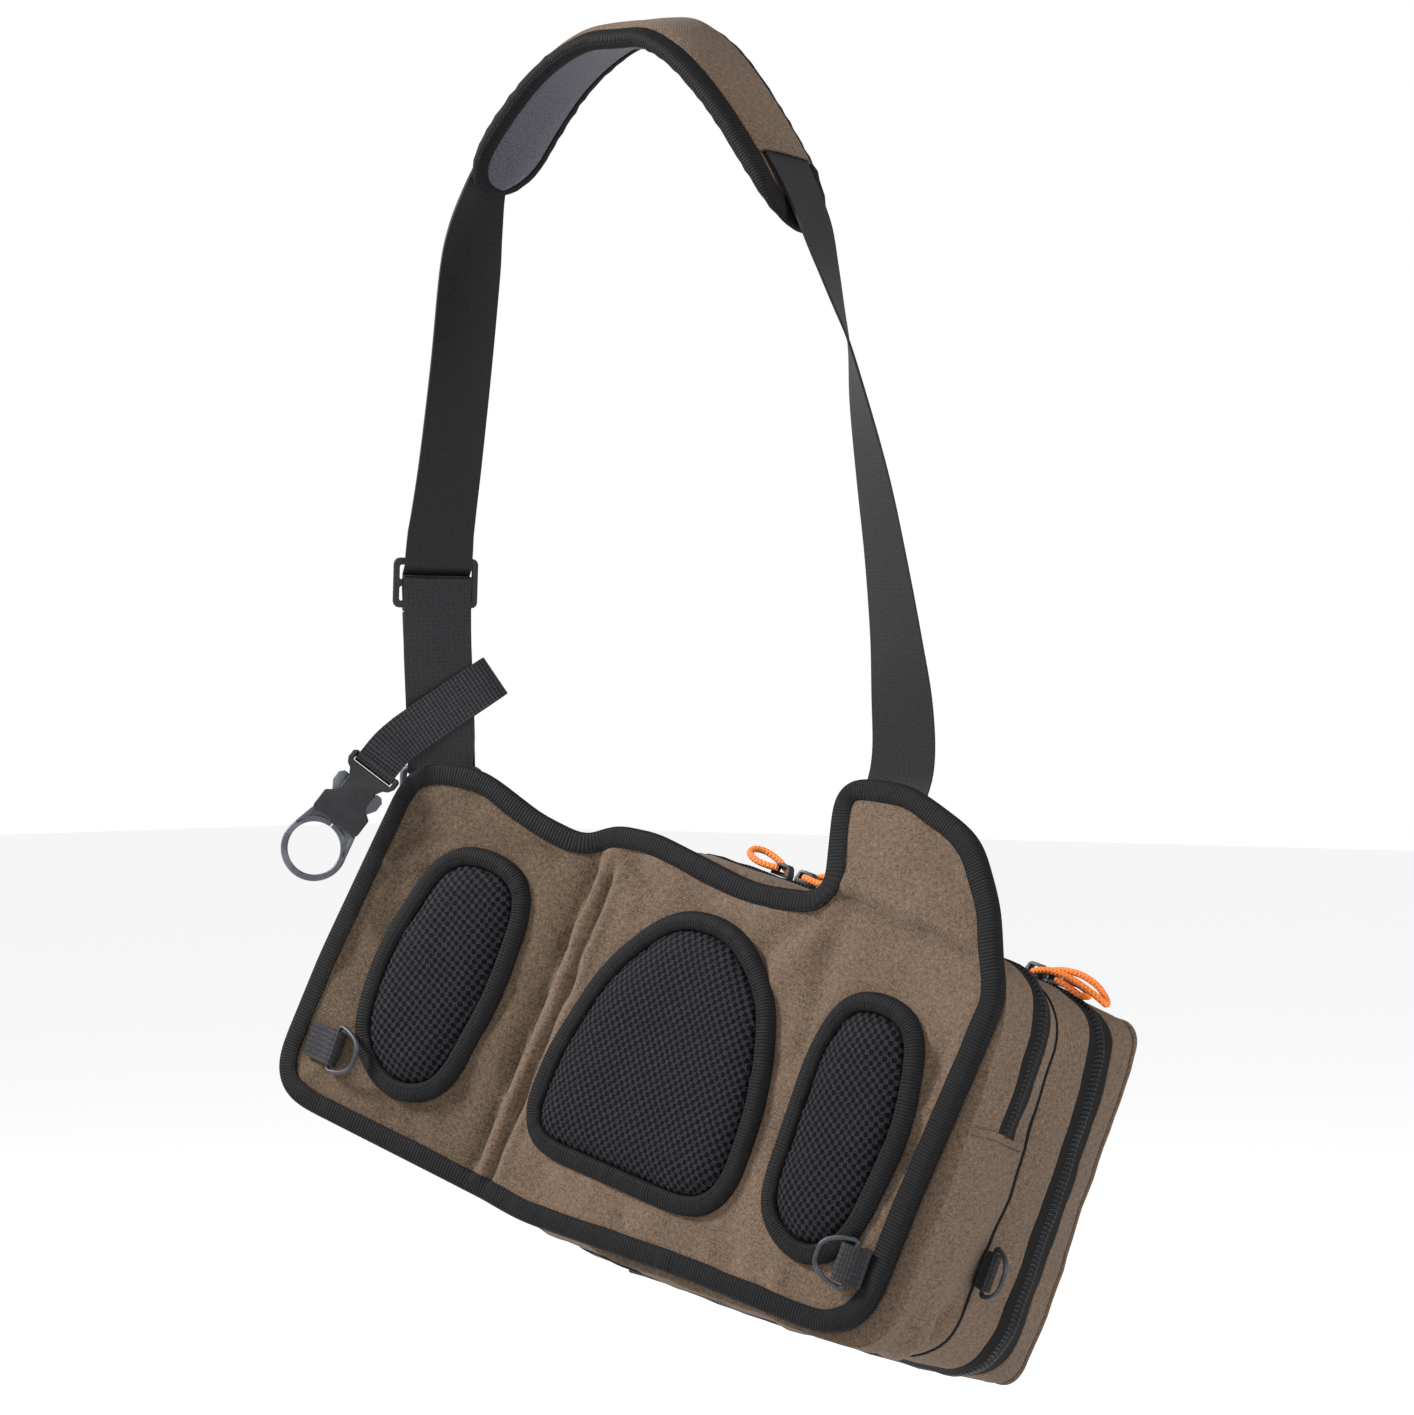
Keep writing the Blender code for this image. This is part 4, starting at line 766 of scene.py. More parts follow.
class Dresser:
    """Turns meshes into finished pieces that ride on the frame's bodies."""

    wire_step = 6.0
    weld = 0.002

    def __init__(self, nodes: dict[str, bpy.types.Object]) -> None:
        """Keep the CAD nodes and start with no material built."""
        self.nodes = nodes
        self.built: dict[Finish, bpy.types.Material] = {}

    def material(self, finish: Finish) -> bpy.types.Material:
        """Return the finish's material, built on first use."""
        if finish not in self.built:
            self.built[finish] = finish.value.build()
        return self.built[finish]

    def finish(self, shape: bmesh.types.BMesh, name: str, finish: Finish, node: str = "", body: str = BODY,
               sharp: float = 50.0) -> bpy.types.Object:
        """Make a piece from a mesh in millimetres.

        Args:
            shape: The mesh, which is used up.
            name: The piece's name.
            finish: Its finish.
            node: The CAD node that it stands for.
            body: The body that it rides on.
            sharp: The angle past which an edge stays sharp.

        Returns:
            The piece.
        """
        bmesh.ops.scale(shape, vec=(MM, MM, MM), verts=shape.verts)
        for face in shape.faces:
            face.smooth = True
        for edge in shape.edges:
            if len(edge.link_faces) == 2:
                edge.smooth = edge.calc_face_angle(0.0) < math.radians(sharp)
        data = bpy.data.meshes.new(name)
        shape.to_mesh(data)
        shape.free()
        piece = bpy.data.objects.new(name, data)
        bpy.context.scene.collection.objects.link(piece)
        data.materials.append(self.material(finish))
        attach(piece, body)
        if node:
            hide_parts(node)
        LOG.info("%s: %d faces, for %s", name, len(data.polygons), node or "no node")
        return piece

    def copied(self, node: str, name: str, finish: Finish, body: str = BODY, edge: float = 0.0, wire: bool = False,
               change: Callable[[Vector], Vector] | None = None) -> bpy.types.Object:
        """Dress a copy of a rigid CAD node: merge it, round its edges and finish it.

        Args:
            node: The CAD node.
            name: The piece's name.
            finish: Its finish.
            body: The body that it rides on.
            edge: How far its edges are bevelled.
            wire: Whether its faces are subdivided and smoothed into round wire.
            change: Moves each point before the edges are rounded.

        Returns:
            The piece.
        """
        shape = bmesh.new()
        shape.from_mesh(self.nodes[node].data)
        bmesh.ops.scale(shape, vec=(1000, 1000, 1000), verts=shape.verts)
        bmesh.ops.remove_doubles(shape, verts=shape.verts, dist=self.weld)
        bmesh.ops.dissolve_limit(shape, angle_limit=math.radians(2), verts=shape.verts, edges=shape.edges)
        if change:
            for vert in shape.verts:
                vert.co = change(vert.co)
        if edge:
            hard = [e for e in shape.edges if len(e.link_faces) == 2 and e.calc_face_angle(0.0) > math.radians(35)]
            bmesh.ops.bevel(shape, geom=hard, offset=edge, segments=3, profile=0.5, affect="EDGES",
                            material=-1, clamp_overlap=True)
        if wire:
            straight = [e for e in shape.edges if e.calc_length() > self.wire_step]
            bmesh.ops.subdivide_edges(shape, edges=straight, cuts=6, use_grid_fill=True)
            bmesh.ops.subdivide_edges(shape, edges=shape.edges, cuts=1, use_grid_fill=True, smooth=1.0)
        bmesh.ops.recalc_face_normals(shape, faces=shape.faces)
        return self.finish(shape, name, finish, node, body, sharp=40.0 if edge else 80.0)


def ripple(place: Vector, size: float, seed: float) -> float:
    """Soft noise from about -1 to 1 that changes over a size in millimetres."""
    return noise.noise(Vector((place.x / size + seed, place.y / size, place.z / size - seed)))


@dataclass
class FoldedSheet:
    """The back panel's flat pattern and how it folds where the bag hangs."""

    origin: tuple[float, float, float] = (-101.7, -19.1, -646.5)
    tip: float = -12.0
    lean: float = 15.0
    wing_bend: float = 12.0
    height: float = 224.0
    fold_foot: float = -13.0
    fold_head: float = 1.0
    fold_soft: float = 4.0
    ear_crease: float = 231.0
    ear_bend: float = 5.0
    ear_soft: float = 4.0
    thickness: float = 5.0
    fold_profile: tuple = ((-12.0, 0.0), (-6.0, 0.8), (-2.5, 2.4), (0.0, 3.6), (2.0, 2.4), (4.5, -1.4), (7.5, -2.6),
                           (10.0, -1.4), (12.2, 1.8), (13.8, 2.8), (15.4, 1.4), (18.0, -1.6), (20.5, -1.8),
                           (24.0, -0.2), (28.0, 0.0))
    fold_fade: tuple = (4.0, 16.0, 196.0, 212.0)
    corners: tuple = (
        Corner(-13, 213, 12), Corner(1, 225, 9), Corner(32, 229, 30), Corner(110, 222, 80),
        Corner(155, 230.5, 7), Corner(133, 293, 18), Corner(180, 303, 70), Corner(234, 289, 45),
        Corner(262, 257, 70), Corner(286, 212, 18), Corner(276, 95, 200), Corner(272, 12, 40),
        Corner(150, 7, 120), Corner(30, -3, 80), Corner(-30, 1, 80), Corner(-158.5, 9, 32),
        Corner(-153, 95, 150), Corner(-138, 220, 32), Corner(-91, 229, 50), Corner(-45, 216, 50),
    )
    dents: tuple = (
        Dent(60, 205, 26, 14, 1.2), Dent(118, 212, 20, 12, -1.6), Dent(172, 205, 12, 30, 1.4),
        Dent(172, 40, 10, 34, 1.3), Dent(220, 214, 34, 12, -1.2), Dent(262, 160, 9, 40, 1.2),
        Dent(268, 60, 9, 30, -1.4), Dent(200, 18, 36, 9, -1.3), Dent(60, 16, 40, 9, 1.0),
        Dent(-132, 120, 10, 50, 1.4), Dent(-60, 206, 30, 10, -1.6), Dent(-20, 120, 8, 60, -1.0),
        Dent(-100, 18, 34, 9, 1.4), Dent(190, 262, 20, 22, -1.9), Dent(228, 262, 16, 16, 1.2),
        Dent(-89, 211, 12, 8, 1.6), Dent(-40, 31, 14, 9, 1.8),
    )
    creases: tuple = (
        Crease(-142, 158, -112, 163, 5, -1.8), Crease(-146, 150, -118, 153, 5, 1.3),
        Crease(-126, 178, -100, 182, 4, 1.2), Crease(8, 208, 34, 186, 6, -1.6),
        Crease(20, 214, 44, 198, 5, 1.7), Crease(36, 218, 62, 204, 5, -1.2),
        Crease(153, 216, 118, 176, 7, 1.5), Crease(160, 206, 132, 160, 7, -1.2),
        Crease(150, 228, 96, 208, 6, -1.1), Crease(170, 205, 176, 150, 6, 1.4),
        Crease(262, 190, 280, 178, 5, -1.2), Crease(258, 168, 276, 158, 5, 1.3),
        Crease(262, 142, 275, 136, 4, -1.3), Crease(260, 116, 275, 108, 5, 1.3),
        Crease(259, 86, 273, 80, 4, -1.2), Crease(176, 26, 184, 14, 5, 1.4),
        Crease(158, 30, 164, 14, 4, -1.2), Crease(208, 30, 214, 12, 5, -1.3),
        Crease(96, 22, 102, 10, 5, 1.1), Crease(-10, 60, 8, 44, 5, -1.0), Crease(-2, 150, 12, 128, 5, 1.2),
        Crease(-60, 26, -50, 10, 5, 1.3), Crease(-128, 34, -142, 16, 5, -1.3), Crease(-26, 196, -44, 208, 5, 1.3),
    )
    matrix: Matrix = field(init=False)

    def __post_init__(self) -> None:
        """Work out the bag frame."""
        turn = Matrix.Rotation(math.radians(self.lean), 4, "Y") @ Matrix.Rotation(math.radians(self.tip), 4, "X")
        self.matrix = Matrix.Translation(self.origin) @ turn

    def in_bag(self, x: float, t: float, w: float) -> Vector:
        """Place of a point of the flat sheet in the bag frame."""
        turn = math.radians(self.wing_bend) * ramp(-x, -self.fold_soft, self.fold_soft)
        bend = math.radians(self.wing_bend)
        spot = Vector((x, 0, w)) if x >= 0 else Vector((x * math.cos(bend), x * math.sin(bend), w))
        low, full, ends, gone = self.fold_fade
        fade = ramp(w, low, full) * (1 - ramp(w, ends, gone))
        line = self.fold_foot + (self.fold_head - self.fold_foot) * w / self.height
        spot.y += fade * table_value(self.fold_profile, x - line)
        ear = math.radians(self.ear_bend) * ramp(w, self.ear_crease - self.ear_soft, self.ear_crease + self.ear_soft)
        above = max(0.0, w - self.ear_crease)
        spot.y += above * math.sin(math.radians(self.ear_bend))
        spot.z -= above * (1 - math.cos(math.radians(self.ear_bend)))
        return spot + Vector((-math.sin(turn), math.cos(turn) * math.cos(ear), -math.sin(ear))) * t

    def place(self, x: float, t: float, w: float) -> Vector:
        """Place of a point of the flat sheet in the world."""
        return self.matrix @ self.in_bag(x, t, w)

    def outline(self) -> list[Vector]:
        """The sheet's edge, closely and evenly spaced."""
        return relaxed(evened(rounded_outline(self.corners, 6.0), 4.0), 2, 0.25)

    def puff(self, x: float, w: float) -> float:
        """How far the padded cloth swells or sinks at a place."""
        swell = 1.5 * noise.noise(Vector((x / 34, w / 30, 1.7))) + 0.7 * noise.noise(Vector((x / 14, w / 16, 5.2)))
        for dent in self.dents:
            reach = ((x - dent.x) / dent.reach_x) ** 2 + ((w - dent.w) / dent.reach_w) ** 2
            swell += dent.depth * math.exp(-reach)
        for crease in self.creases:
            way = Vector((crease.end_x - crease.x, crease.end_w - crease.w))
            here = Vector((x - crease.x, w - crease.w))
            along = here.dot(way) / way.length_squared
            off = (here - way * min(1.0, max(0.0, along))).length
            swell += crease.depth * math.exp(-(off / crease.reach) ** 2)
        line = w - self.ear_crease + (x - 230) * 0.05
        fold = 2.6 * math.exp(-((line + 1.0) / 2.8) ** 2) - 2.2 * math.exp(-((line - 5) / 4) ** 2)
        return swell + fold * ramp(x, 150, 168)


@dataclass
class BackPanel:
    """The folding back panel: padded cloth, its binding, and three mesh pads."""

    sheet: FoldedSheet
    tape_width: float = 12.5
    tape_wall: float = 0.8
    lap_at: float = 130.0
    laps: dict = field(default_factory=lambda: {"left": 150.0, "mid": 330.0, "right": 170.0})
    cell: float = 5.0
    tape_front: tuple = ((12.5, -0.35), (12.4, -1.15), (11.6, -1.55), (8.0, -1.7), (4.0, -1.6), (1.6, -1.2),
                         (0.4, 0.0), (0.0, 2.5), (0.4, 5.0), (1.6, 6.2), (4.0, 6.6), (11.6, 6.5), (12.5, 6.0),
                         (12.5, 5.35), (1.1, 5.35), (1.1, -0.35))
    pad_tape: tuple = ((0.0, -0.3), (0.0, -1.6), (0.5, -3.1), (1.7, -4.5), (3.6, -5.3), (6.0, -5.6), (8.4, -5.5),
                       (10.0, -4.9), (10.9, -3.9), (11.2, -2.4), (11.2, -0.3))
    pads: dict = field(default_factory=lambda: {
        "left": (Corner(-29, 185, 36), Corner(-29.5, 110, 150), Corner(-43, 40, 40), Corner(-80, 30, 26),
                 Corner(-114, 54, 38), Corner(-117.5, 108, 120), Corner(-96, 187, 36)),
        "mid": (Corner(10, 37, 30), Corner(13, 95, 100), Corner(28, 150, 90), Corner(66, 197, 50),
                Corner(113, 198, 40), Corner(150, 168, 50), Corner(165, 118, 100), Corner(167, 38, 44)),
        "right": (Corner(181, 150, 60), Corner(191, 190, 34), Corner(247, 193, 34), Corner(260, 128, 90),
                  Corner(250, 57, 30), Corner(222, 38, 20), Corner(182, 54, 30)),
    })

    def build(self, dresser: Dresser) -> None:
        """Make the panel, its tape and the pads."""
        self.build_cloth(dresser)
        self.build_tape(dresser)
        finishes = {"left": Finish.MESH_LEFT, "mid": Finish.MESH_UPRIGHT, "right": Finish.MESH_RIGHT}
        for side, corners in self.pads.items():
            self.build_pad(dresser, side, corners, finishes[side])

    def build_cloth(self, dresser: Dresser) -> None:
        """Make the padded cloth, with painted shade on the wing: its faces take a darker copy of the cloth."""
        edge = offset(self.sheet.outline(), self.tape_wall + 0.5)
        cloth = Cloth().patch(edge, self.cell, self.sheet.thickness)
        bmesh.ops.subdivide_edges(cloth.mesh, edges=cloth.mesh.edges, cuts=1, use_grid_fill=True)
        # Faces left of the fold line take the darker wing copy, which paints the wing's shade
        for face in cloth.mesh.faces:
            middle = face.calc_center_median()
            line = self.sheet.fold_foot + (self.sheet.fold_head - self.sheet.fold_foot) * middle.z / self.sheet.height
            face.material_index = int(middle.x < line)

        def settle(spot: Vector) -> Vector:
            front = spot.y < 1.0
            swell = self.sheet.puff(spot.x, spot.z)
            reach = min((Vector((spot.x, spot.z)) - p).length for p in near_edge(spot))
            swell *= ramp(reach, 8.0, 17.0)
            return self.sheet.place(spot.x, spot.y + (swell * 1.35 - 0.1 if front else swell * 0.3), spot.z)

        grid: dict[tuple[int, int], list[Vector]] = {}
        for p in edge:
            grid.setdefault((round(p.x / 30), round(p.y / 30)), []).append(p)

        def near_edge(spot: Vector) -> list[Vector]:
            column, row = round(spot.x / 30), round(spot.z / 30)
            found = [p for i in (-1, 0, 1) for j in (-1, 0, 1) for p in grid.get((column + i, row + j), [])]
            return found or [Vector((1e4, 1e4))]

        cloth.move(settle)
        panel = dresser.finish(cloth.mesh, "panel_cloth", Finish.CLOTH, "back_panel")
        panel.data.materials.append(dresser.material(Finish.SHADED_WING_CLOTH))

    def build_tape(self, dresser: Dresser) -> None:
        """Make the tape folded round the panel's edge, with its lap joint."""
        edge = evened(self.sheet.outline(), 2.0)
        normals = inward_normals(edge)
        along = lengths_along(edge, closed=True)
        rings = []
        for p, n, s in zip(edge, normals, along):
            pucker = 0.55 * noise.noise(Vector((s / 8, 0.3, 0.8)))
            stray = 0.7 * noise.noise(Vector((s / 21, 4.1, 2.2)))
            lap = 0.7 * (p.y < 6 and self.lap_at < p.x < self.lap_at + 15)
            rings.append([self.sheet.place(p.x + n.x * (d + stray * (d > 10)),
                                           t + (pucker - lap) * (0 < d < 12 and t < 0),
                                           p.y + n.y * (d + stray * (d > 10))) for d, t in self.tape_front])
        around = [self.tape_width - a for a in lengths_along(self.tape_front, closed=True)]
        cloth = Cloth().sweep(rings, along, around, closed=True)
        dresser.finish(cloth.mesh, "panel_tape", Finish.TAPE, "panel_binding", sharp=70)

    def build_pad(self, dresser: Dresser, side: str, corners: Sequence[Corner], finish: Finish) -> None:
        """Make one mesh pad and its ring of tape."""
        edge = relaxed(evened(rounded_outline(corners, 6.0), 2.2), 7)
        along = lengths_along(edge, closed=True)
        normals = inward_normals(edge)
        rings = []
        for p, n, s in zip(edge, normals, along):
            pucker = 0.8 * noise.noise(Vector((s / 6, 7.3, 1.1)))
            pucker -= 0.7 * (abs(s - self.laps[side]) < 6)
            rings.append([self.sheet.place(p.x + n.x * d, t + pucker * (1 < d < 10.5), p.y + n.y * d)
                          for d, t in self.pad_tape])
        tape = Cloth().sweep(rings, along, lengths_along(self.pad_tape, closed=True), closed=True)
        dresser.finish(tape.mesh, "pad_tape_" + side, Finish.TAPE, "pad_binding_" + side,
                       sharp=75)

        inner = offset(edge, 11.5)
        dome = Cloth().patch(inner, 4.0, 2.8)

        def crown(spot: Vector) -> Vector:
            if spot.y > 1.0:
                return self.sheet.place(spot.x, -0.35, spot.z)
            reach = min((Vector((spot.x, spot.z)) - p).length for p in inner)
            rise = 3.4 + 6.6 * (1 - math.exp(-reach / 6.5)) + 0.8 * ripple(Vector((spot.x, 0, spot.z)), 22, 3.1)
            return self.sheet.place(spot.x, -rise, spot.z)

        dome.move(crown)
        pad = dresser.finish(dome.mesh, "pad_mesh_" + side, finish, "pad_" + side, sharp=75)


@dataclass
class BagBody:
    """The two compartments behind the panel, their zips and seams."""

    sheet: FoldedSheet
    corner_steps: int = 12
    side_steps: int = 21
    bulge: float = 2.0
    rear_zip: tuple[float, float] = (31.3, 50.7)
    seam: tuple[float, float] = (61.4, 63.4)
    front_zip: tuple[float, float] = (93.8, 116.4)
    face: float = 148.0
    wall: float = 2.0
    zip_end: float = 0.66
    sections: tuple = (
        Section(6, 8, 286, -4, 12, 223, 228, 36), Section(30, 4, 290, -10, 11, 225, 230, 38),
        Section(62, 6, 287, -15, 11, 223, 223, 36), Section(98, 3, 292, -22, 8, 220, 221, 38),
        Section(116, 3, 292, -23, 7, 219, 220, 32), Section(132, 5, 291, -22, 6, 217, 219, 20),
        Section(150, 8, 288, -18, 7, 213, 216, 12),
    )
    slumps: tuple = (
        Slump(288, 22, 26, 10, 6, 16, 4.4), Slump(286, 36, 20, 16, 6, 16, -3.0), Slump(290, 48, 28, 14, 5, 18, 3.6),
        Slump(268, 44, 10, 12, 9, 14, -3.2), Slump(250, 26, 8, 10, 10, 12, 3.4),
        Slump(292, 46, 34, 18, 7, 16, 2.6), Slump(288, 22, 62, 20, 6, 26, 1.8), Slump(290, 42, 96, 20, 9, 24, -1.8),
        Slump(290, 80, 120, 24, 14, 34, -1.5), Slump(290, 108, 190, 24, 12, 34, 1.6),
        Slump(232, 46, 8, 12, 8, 14, 2.2), Slump(210, 24, 8, 14, 9, 14, -2.0), Slump(289, 56, 150, 20, 6, 10, 1.4),
    )

    def section_at(self, t: float) -> Section:
        """Body section at a depth, straight between the table's rows."""
        for low, high in zip(self.sections, self.sections[1:]):
            if t <= high.t:
                f = max(0.0, (t - low.t) / (high.t - low.t))
                return Section(*(a + (b - a) * f for a, b in zip(low, high)))
        return self.sections[-1]

    def spans(self) -> dict[str, int]:
        """First station of each side of the ring: bottom, right, top, left, and the count."""
        each = self.side_steps + self.corner_steps - 1
        return {"bottom": 0, "right": each, "top": 2 * each, "left": 3 * each, "count": 4 * each}

    def ring(self, t: float) -> list[Vector]:
        """Points round the body at a depth in u and w, with round corners."""
        s = self.section_at(t)
        corners = [Vector((s.left, s.foot_left)), Vector((s.right, s.foot_right)),
                   Vector((s.right, s.head_right)), Vector((s.left, s.head_left))]
        points = []
        for side in range(4):
            start, end, after = corners[side], corners[(side + 1) % 4], corners[(side + 2) % 4]
            way = (end - start).normalized()
            outward = Vector((way.y, -way.x))
            first, last = start + way * s.corner, end - way * s.corner
            for k in range(self.side_steps):
                f = k / (self.side_steps - 1)
                points.append(first.lerp(last, f) + outward * self.bulge * 4 * f * (1 - f))
            leave = end + (after - end).normalized() * s.corner
            for k in range(1, self.corner_steps):
                f = k / self.corner_steps
                points.append(last * (1 - f) ** 2 + end * 2 * f * (1 - f) + leave * f * f)
        return points

    def skin(self, k: float, t: float, rise: float, soft: float = 1.0) -> Vector:
        """A world point of the body's skin at a station and depth, with its slumps."""
        ring = self.ring(t)
        out = [-n for n in inward_normals(ring)]
        low = math.floor(k)
        f = k - low
        a, b = low % len(ring), (low + 1) % len(ring)
        spot = ring[a].lerp(ring[b], f)
        normal = out[a].lerp(out[b], f)
        slump = 2.2 * noise.noise(Vector((spot.x / 46, t / 30, spot.y / 46)))
        slump += 1.2 * noise.noise(Vector((spot.x / 17, t / 13, spot.y / 17)))
        for hollow in self.slumps:
            reach = ((spot.x - hollow.u) / hollow.reach_u) ** 2 + ((t - hollow.t) / hollow.reach_t) ** 2
            slump -= 1.4 * hollow.depth * math.exp(-reach - ((spot.y - hollow.w) / hollow.reach_w) ** 2)
        place = spot + normal * (rise + slump * soft)
        return self.sheet.matrix @ Vector((place.x, t, place.y))

    def band(self, profile: Sequence[tuple[float, float]], first: float = 0, last: float = 0) -> Cloth:
        """A strip of skin with its own profile of depth and rise, all the way round or between stations."""
        closed = first == last
        if closed:
            stations = range(self.spans()["count"])
        else:
            stations = [first, *range(math.ceil(first + 0.1), math.floor(last - 0.1) + 1), last]
        rings = [[self.skin(k, t, rise) for t, rise in profile] for k in stations]
        along = lengths_along([r[0] for r in rings], closed)
        return Cloth().sweep(rings, along, lengths_along(profile, closed=True), closed=closed)

    def shell(self, rows: Sequence[tuple[float, float]]) -> Cloth:
        """A tray of cloth over the rings at (depth, share of the ring), closed at its last row."""
        count = self.spans()["count"]
        rings = []
        for t, share in rows:
            ring = [self.skin(k, t, 0.0, ramp(share, 0.5, 1.0)) for k in range(count)]
            middle = sum(ring, Vector()) / count
            rings.append([middle + (p - middle) * share for p in ring])
        cloth = Cloth().sweep(rings, [t for t, _ in rows], lengths_along(rings[0], closed=True), caps=False)
        rim = [e for e in cloth.mesh.edges if e.is_boundary]
        last = {tuple(round(c, 3) for c in p) for p in rings[-1]}
        far = [e for e in rim if all(tuple(round(c, 3) for c in v.co) in last for v in e.verts)]
        bmesh.ops.edgeloop_fill(cloth.mesh, edges=far)
        bmesh.ops.recalc_face_normals(cloth.mesh, faces=cloth.mesh.faces)
        depth = self.sheet.matrix.col[1].to_3d()
        back = self.sheet.matrix.inverted()
        for face in cloth.mesh.faces:
            if abs(face.normal.dot(depth)) > 0.5:
                for loop in face.loops:
                    spot = back @ loop.vert.co
                    loop[cloth.flat].uv = (spot.x, spot.z)
        return cloth

    def build(self, dresser: Dresser) -> None:
        """Make the shells, gussets, seams and zips."""
        spans = self.spans()
        zip_first = spans["right"] + (self.side_steps - 1) * self.zip_end
        zip_last = spans["top"] + self.side_steps - 1
        rows = [(self.seam[0] + 0.3, 1)] + [(t, 1) for t in range(58, 10, -4)] + [(8.5, 1), (7.6, 0.985), (7.0, 0.94)]
        rear = self.shell(rows)
        self.walled(dresser.finish(rear.mesh, "rear_compartment", Finish.CLOTH, "body_rear_shell"))
        a, b = self.rear_zip
        middle = (a + b) / 2
        profile = ((a, -0.4), (a, 0.35), (a + 1.0, 0.5), (a + 5.8, 0.55), (middle - 3.0, 0.9), (middle - 2.4, 2.0),
                   (middle, 2.3), (middle + 2.4, 2.0), (middle + 3.0, 0.9), (b - 5.8, 0.55), (b - 1.0, 0.5),
                   (b, 0.35), (b, -0.4))
        dresser.finish(self.band(profile, zip_first, zip_last).mesh, "rear_zip_coil", Finish.ZIP, "rear_zip", sharp=80)
        self.build_seams(dresser, zip_first)
        self.build_front(dresser)

    def build_seams(self, dresser: Dresser, zip_first: float) -> None:
        """Make the black ring between the compartments, which is the divider's edge and painted shade in the seam, and
        the cross seam under the zip.
        """
        middle = sum(self.seam) / 2
        # A thin black ring stands for the divider's edge and paints the shade in the seam between the compartments
        edge_and_shade = [(middle + t, 0.2 + rise) for t, rise in arc(0, 315, 7, 0.8, 0.9)]
        dresser.finish(self.band(edge_and_shade).mesh, "seam_edge_and_shade", Finish.TAPE, "divider", sharp=90)
        profile = [(9.5, 0.0), *((10.5 + 47.5 * k / 8, 0.9) for k in range(9)), (59.5, 0.0)]
        seam = self.band(profile, zip_first - 0.55, zip_first - 0.02)
        dresser.finish(seam.mesh, "zip_end_hem", Finish.CLOTH)

    def build_front(self, dresser: Dresser) -> None:
        """Make the mid gusset, the front zip, the hinge strip and the front shell."""
        spans = self.spans()
        a, b = self.seam[1] - 0.3, self.front_zip[0]
        steps = [a + (b - a) * k / 7 for k in range(8)]
        profile = [(t, 0.15 + 1.2 * math.sin(math.pi * k / 7)) for k, t in enumerate(steps)]
        profile += [(t, -self.wall) for t in reversed(steps)]
        gusset = self.band(profile)
        dresser.finish(gusset.mesh, "mid_gusset", Finish.CLOTH, "body_mid_gusset", sharp=60)
        a, b = self.front_zip
        last = spans["top"] + self.side_steps - 1.0
        profile = ((a, -0.6), (a, 0.4), (a + 1.2, 0.5), (a + 7.2, 0.6), (a + 8.2, 1.1), (a + 8.7, 2.1),
                   (a + 11.3, 2.5), (a + 13.9, 2.1), (a + 14.4, 1.1), (a + 15.4, 0.6), (b - 1.2, 0.5), (b, 0.4),
                   (b, -0.6))
        band = self.band(profile, 0, last)
        dresser.finish(band.mesh, "front_zip_coil", Finish.FRONT_ZIP, "front_zip", sharp=80)
        hinge = ((a, 0), ((a + b) / 2, 0.8), (b, 0), (b, -self.wall), (a, -self.wall))
        strip = self.band(hinge, last, spans["count"])
        dresser.finish(strip.mesh, "hinge_strip", Finish.CLOTH, "front_hinge")
        rows = [(b - 0.3, 1), (120, 1), (124, 1), (128, 1), (132, 1), (135.5, 0.997), (138.5, 0.99), (141, 0.975),
                (143, 0.95), (144.8, 0.91), (146.2, 0.84), (147.4, 0.7), (self.face, 0.5)]
        front = self.shell(rows)
        self.walled(dresser.finish(front.mesh, "front_compartment", Finish.CLOTH, "front_shell"))
        welt = self.band([(140.2 + t, -1.6 + rise) for t, rise in arc(0, 315, 7, 1.6, 1.9)])
        dresser.finish(welt.mesh, "front_edge_welt", Finish.CLOTH, sharp=90)

    def walled(self, piece: bpy.types.Object) -> None:
        """Give an open skin its wall, inwards."""
        wall = piece.modifiers.new("wall", "SOLIDIFY")
        wall.thickness = self.wall * MM
        wall.offset = -1


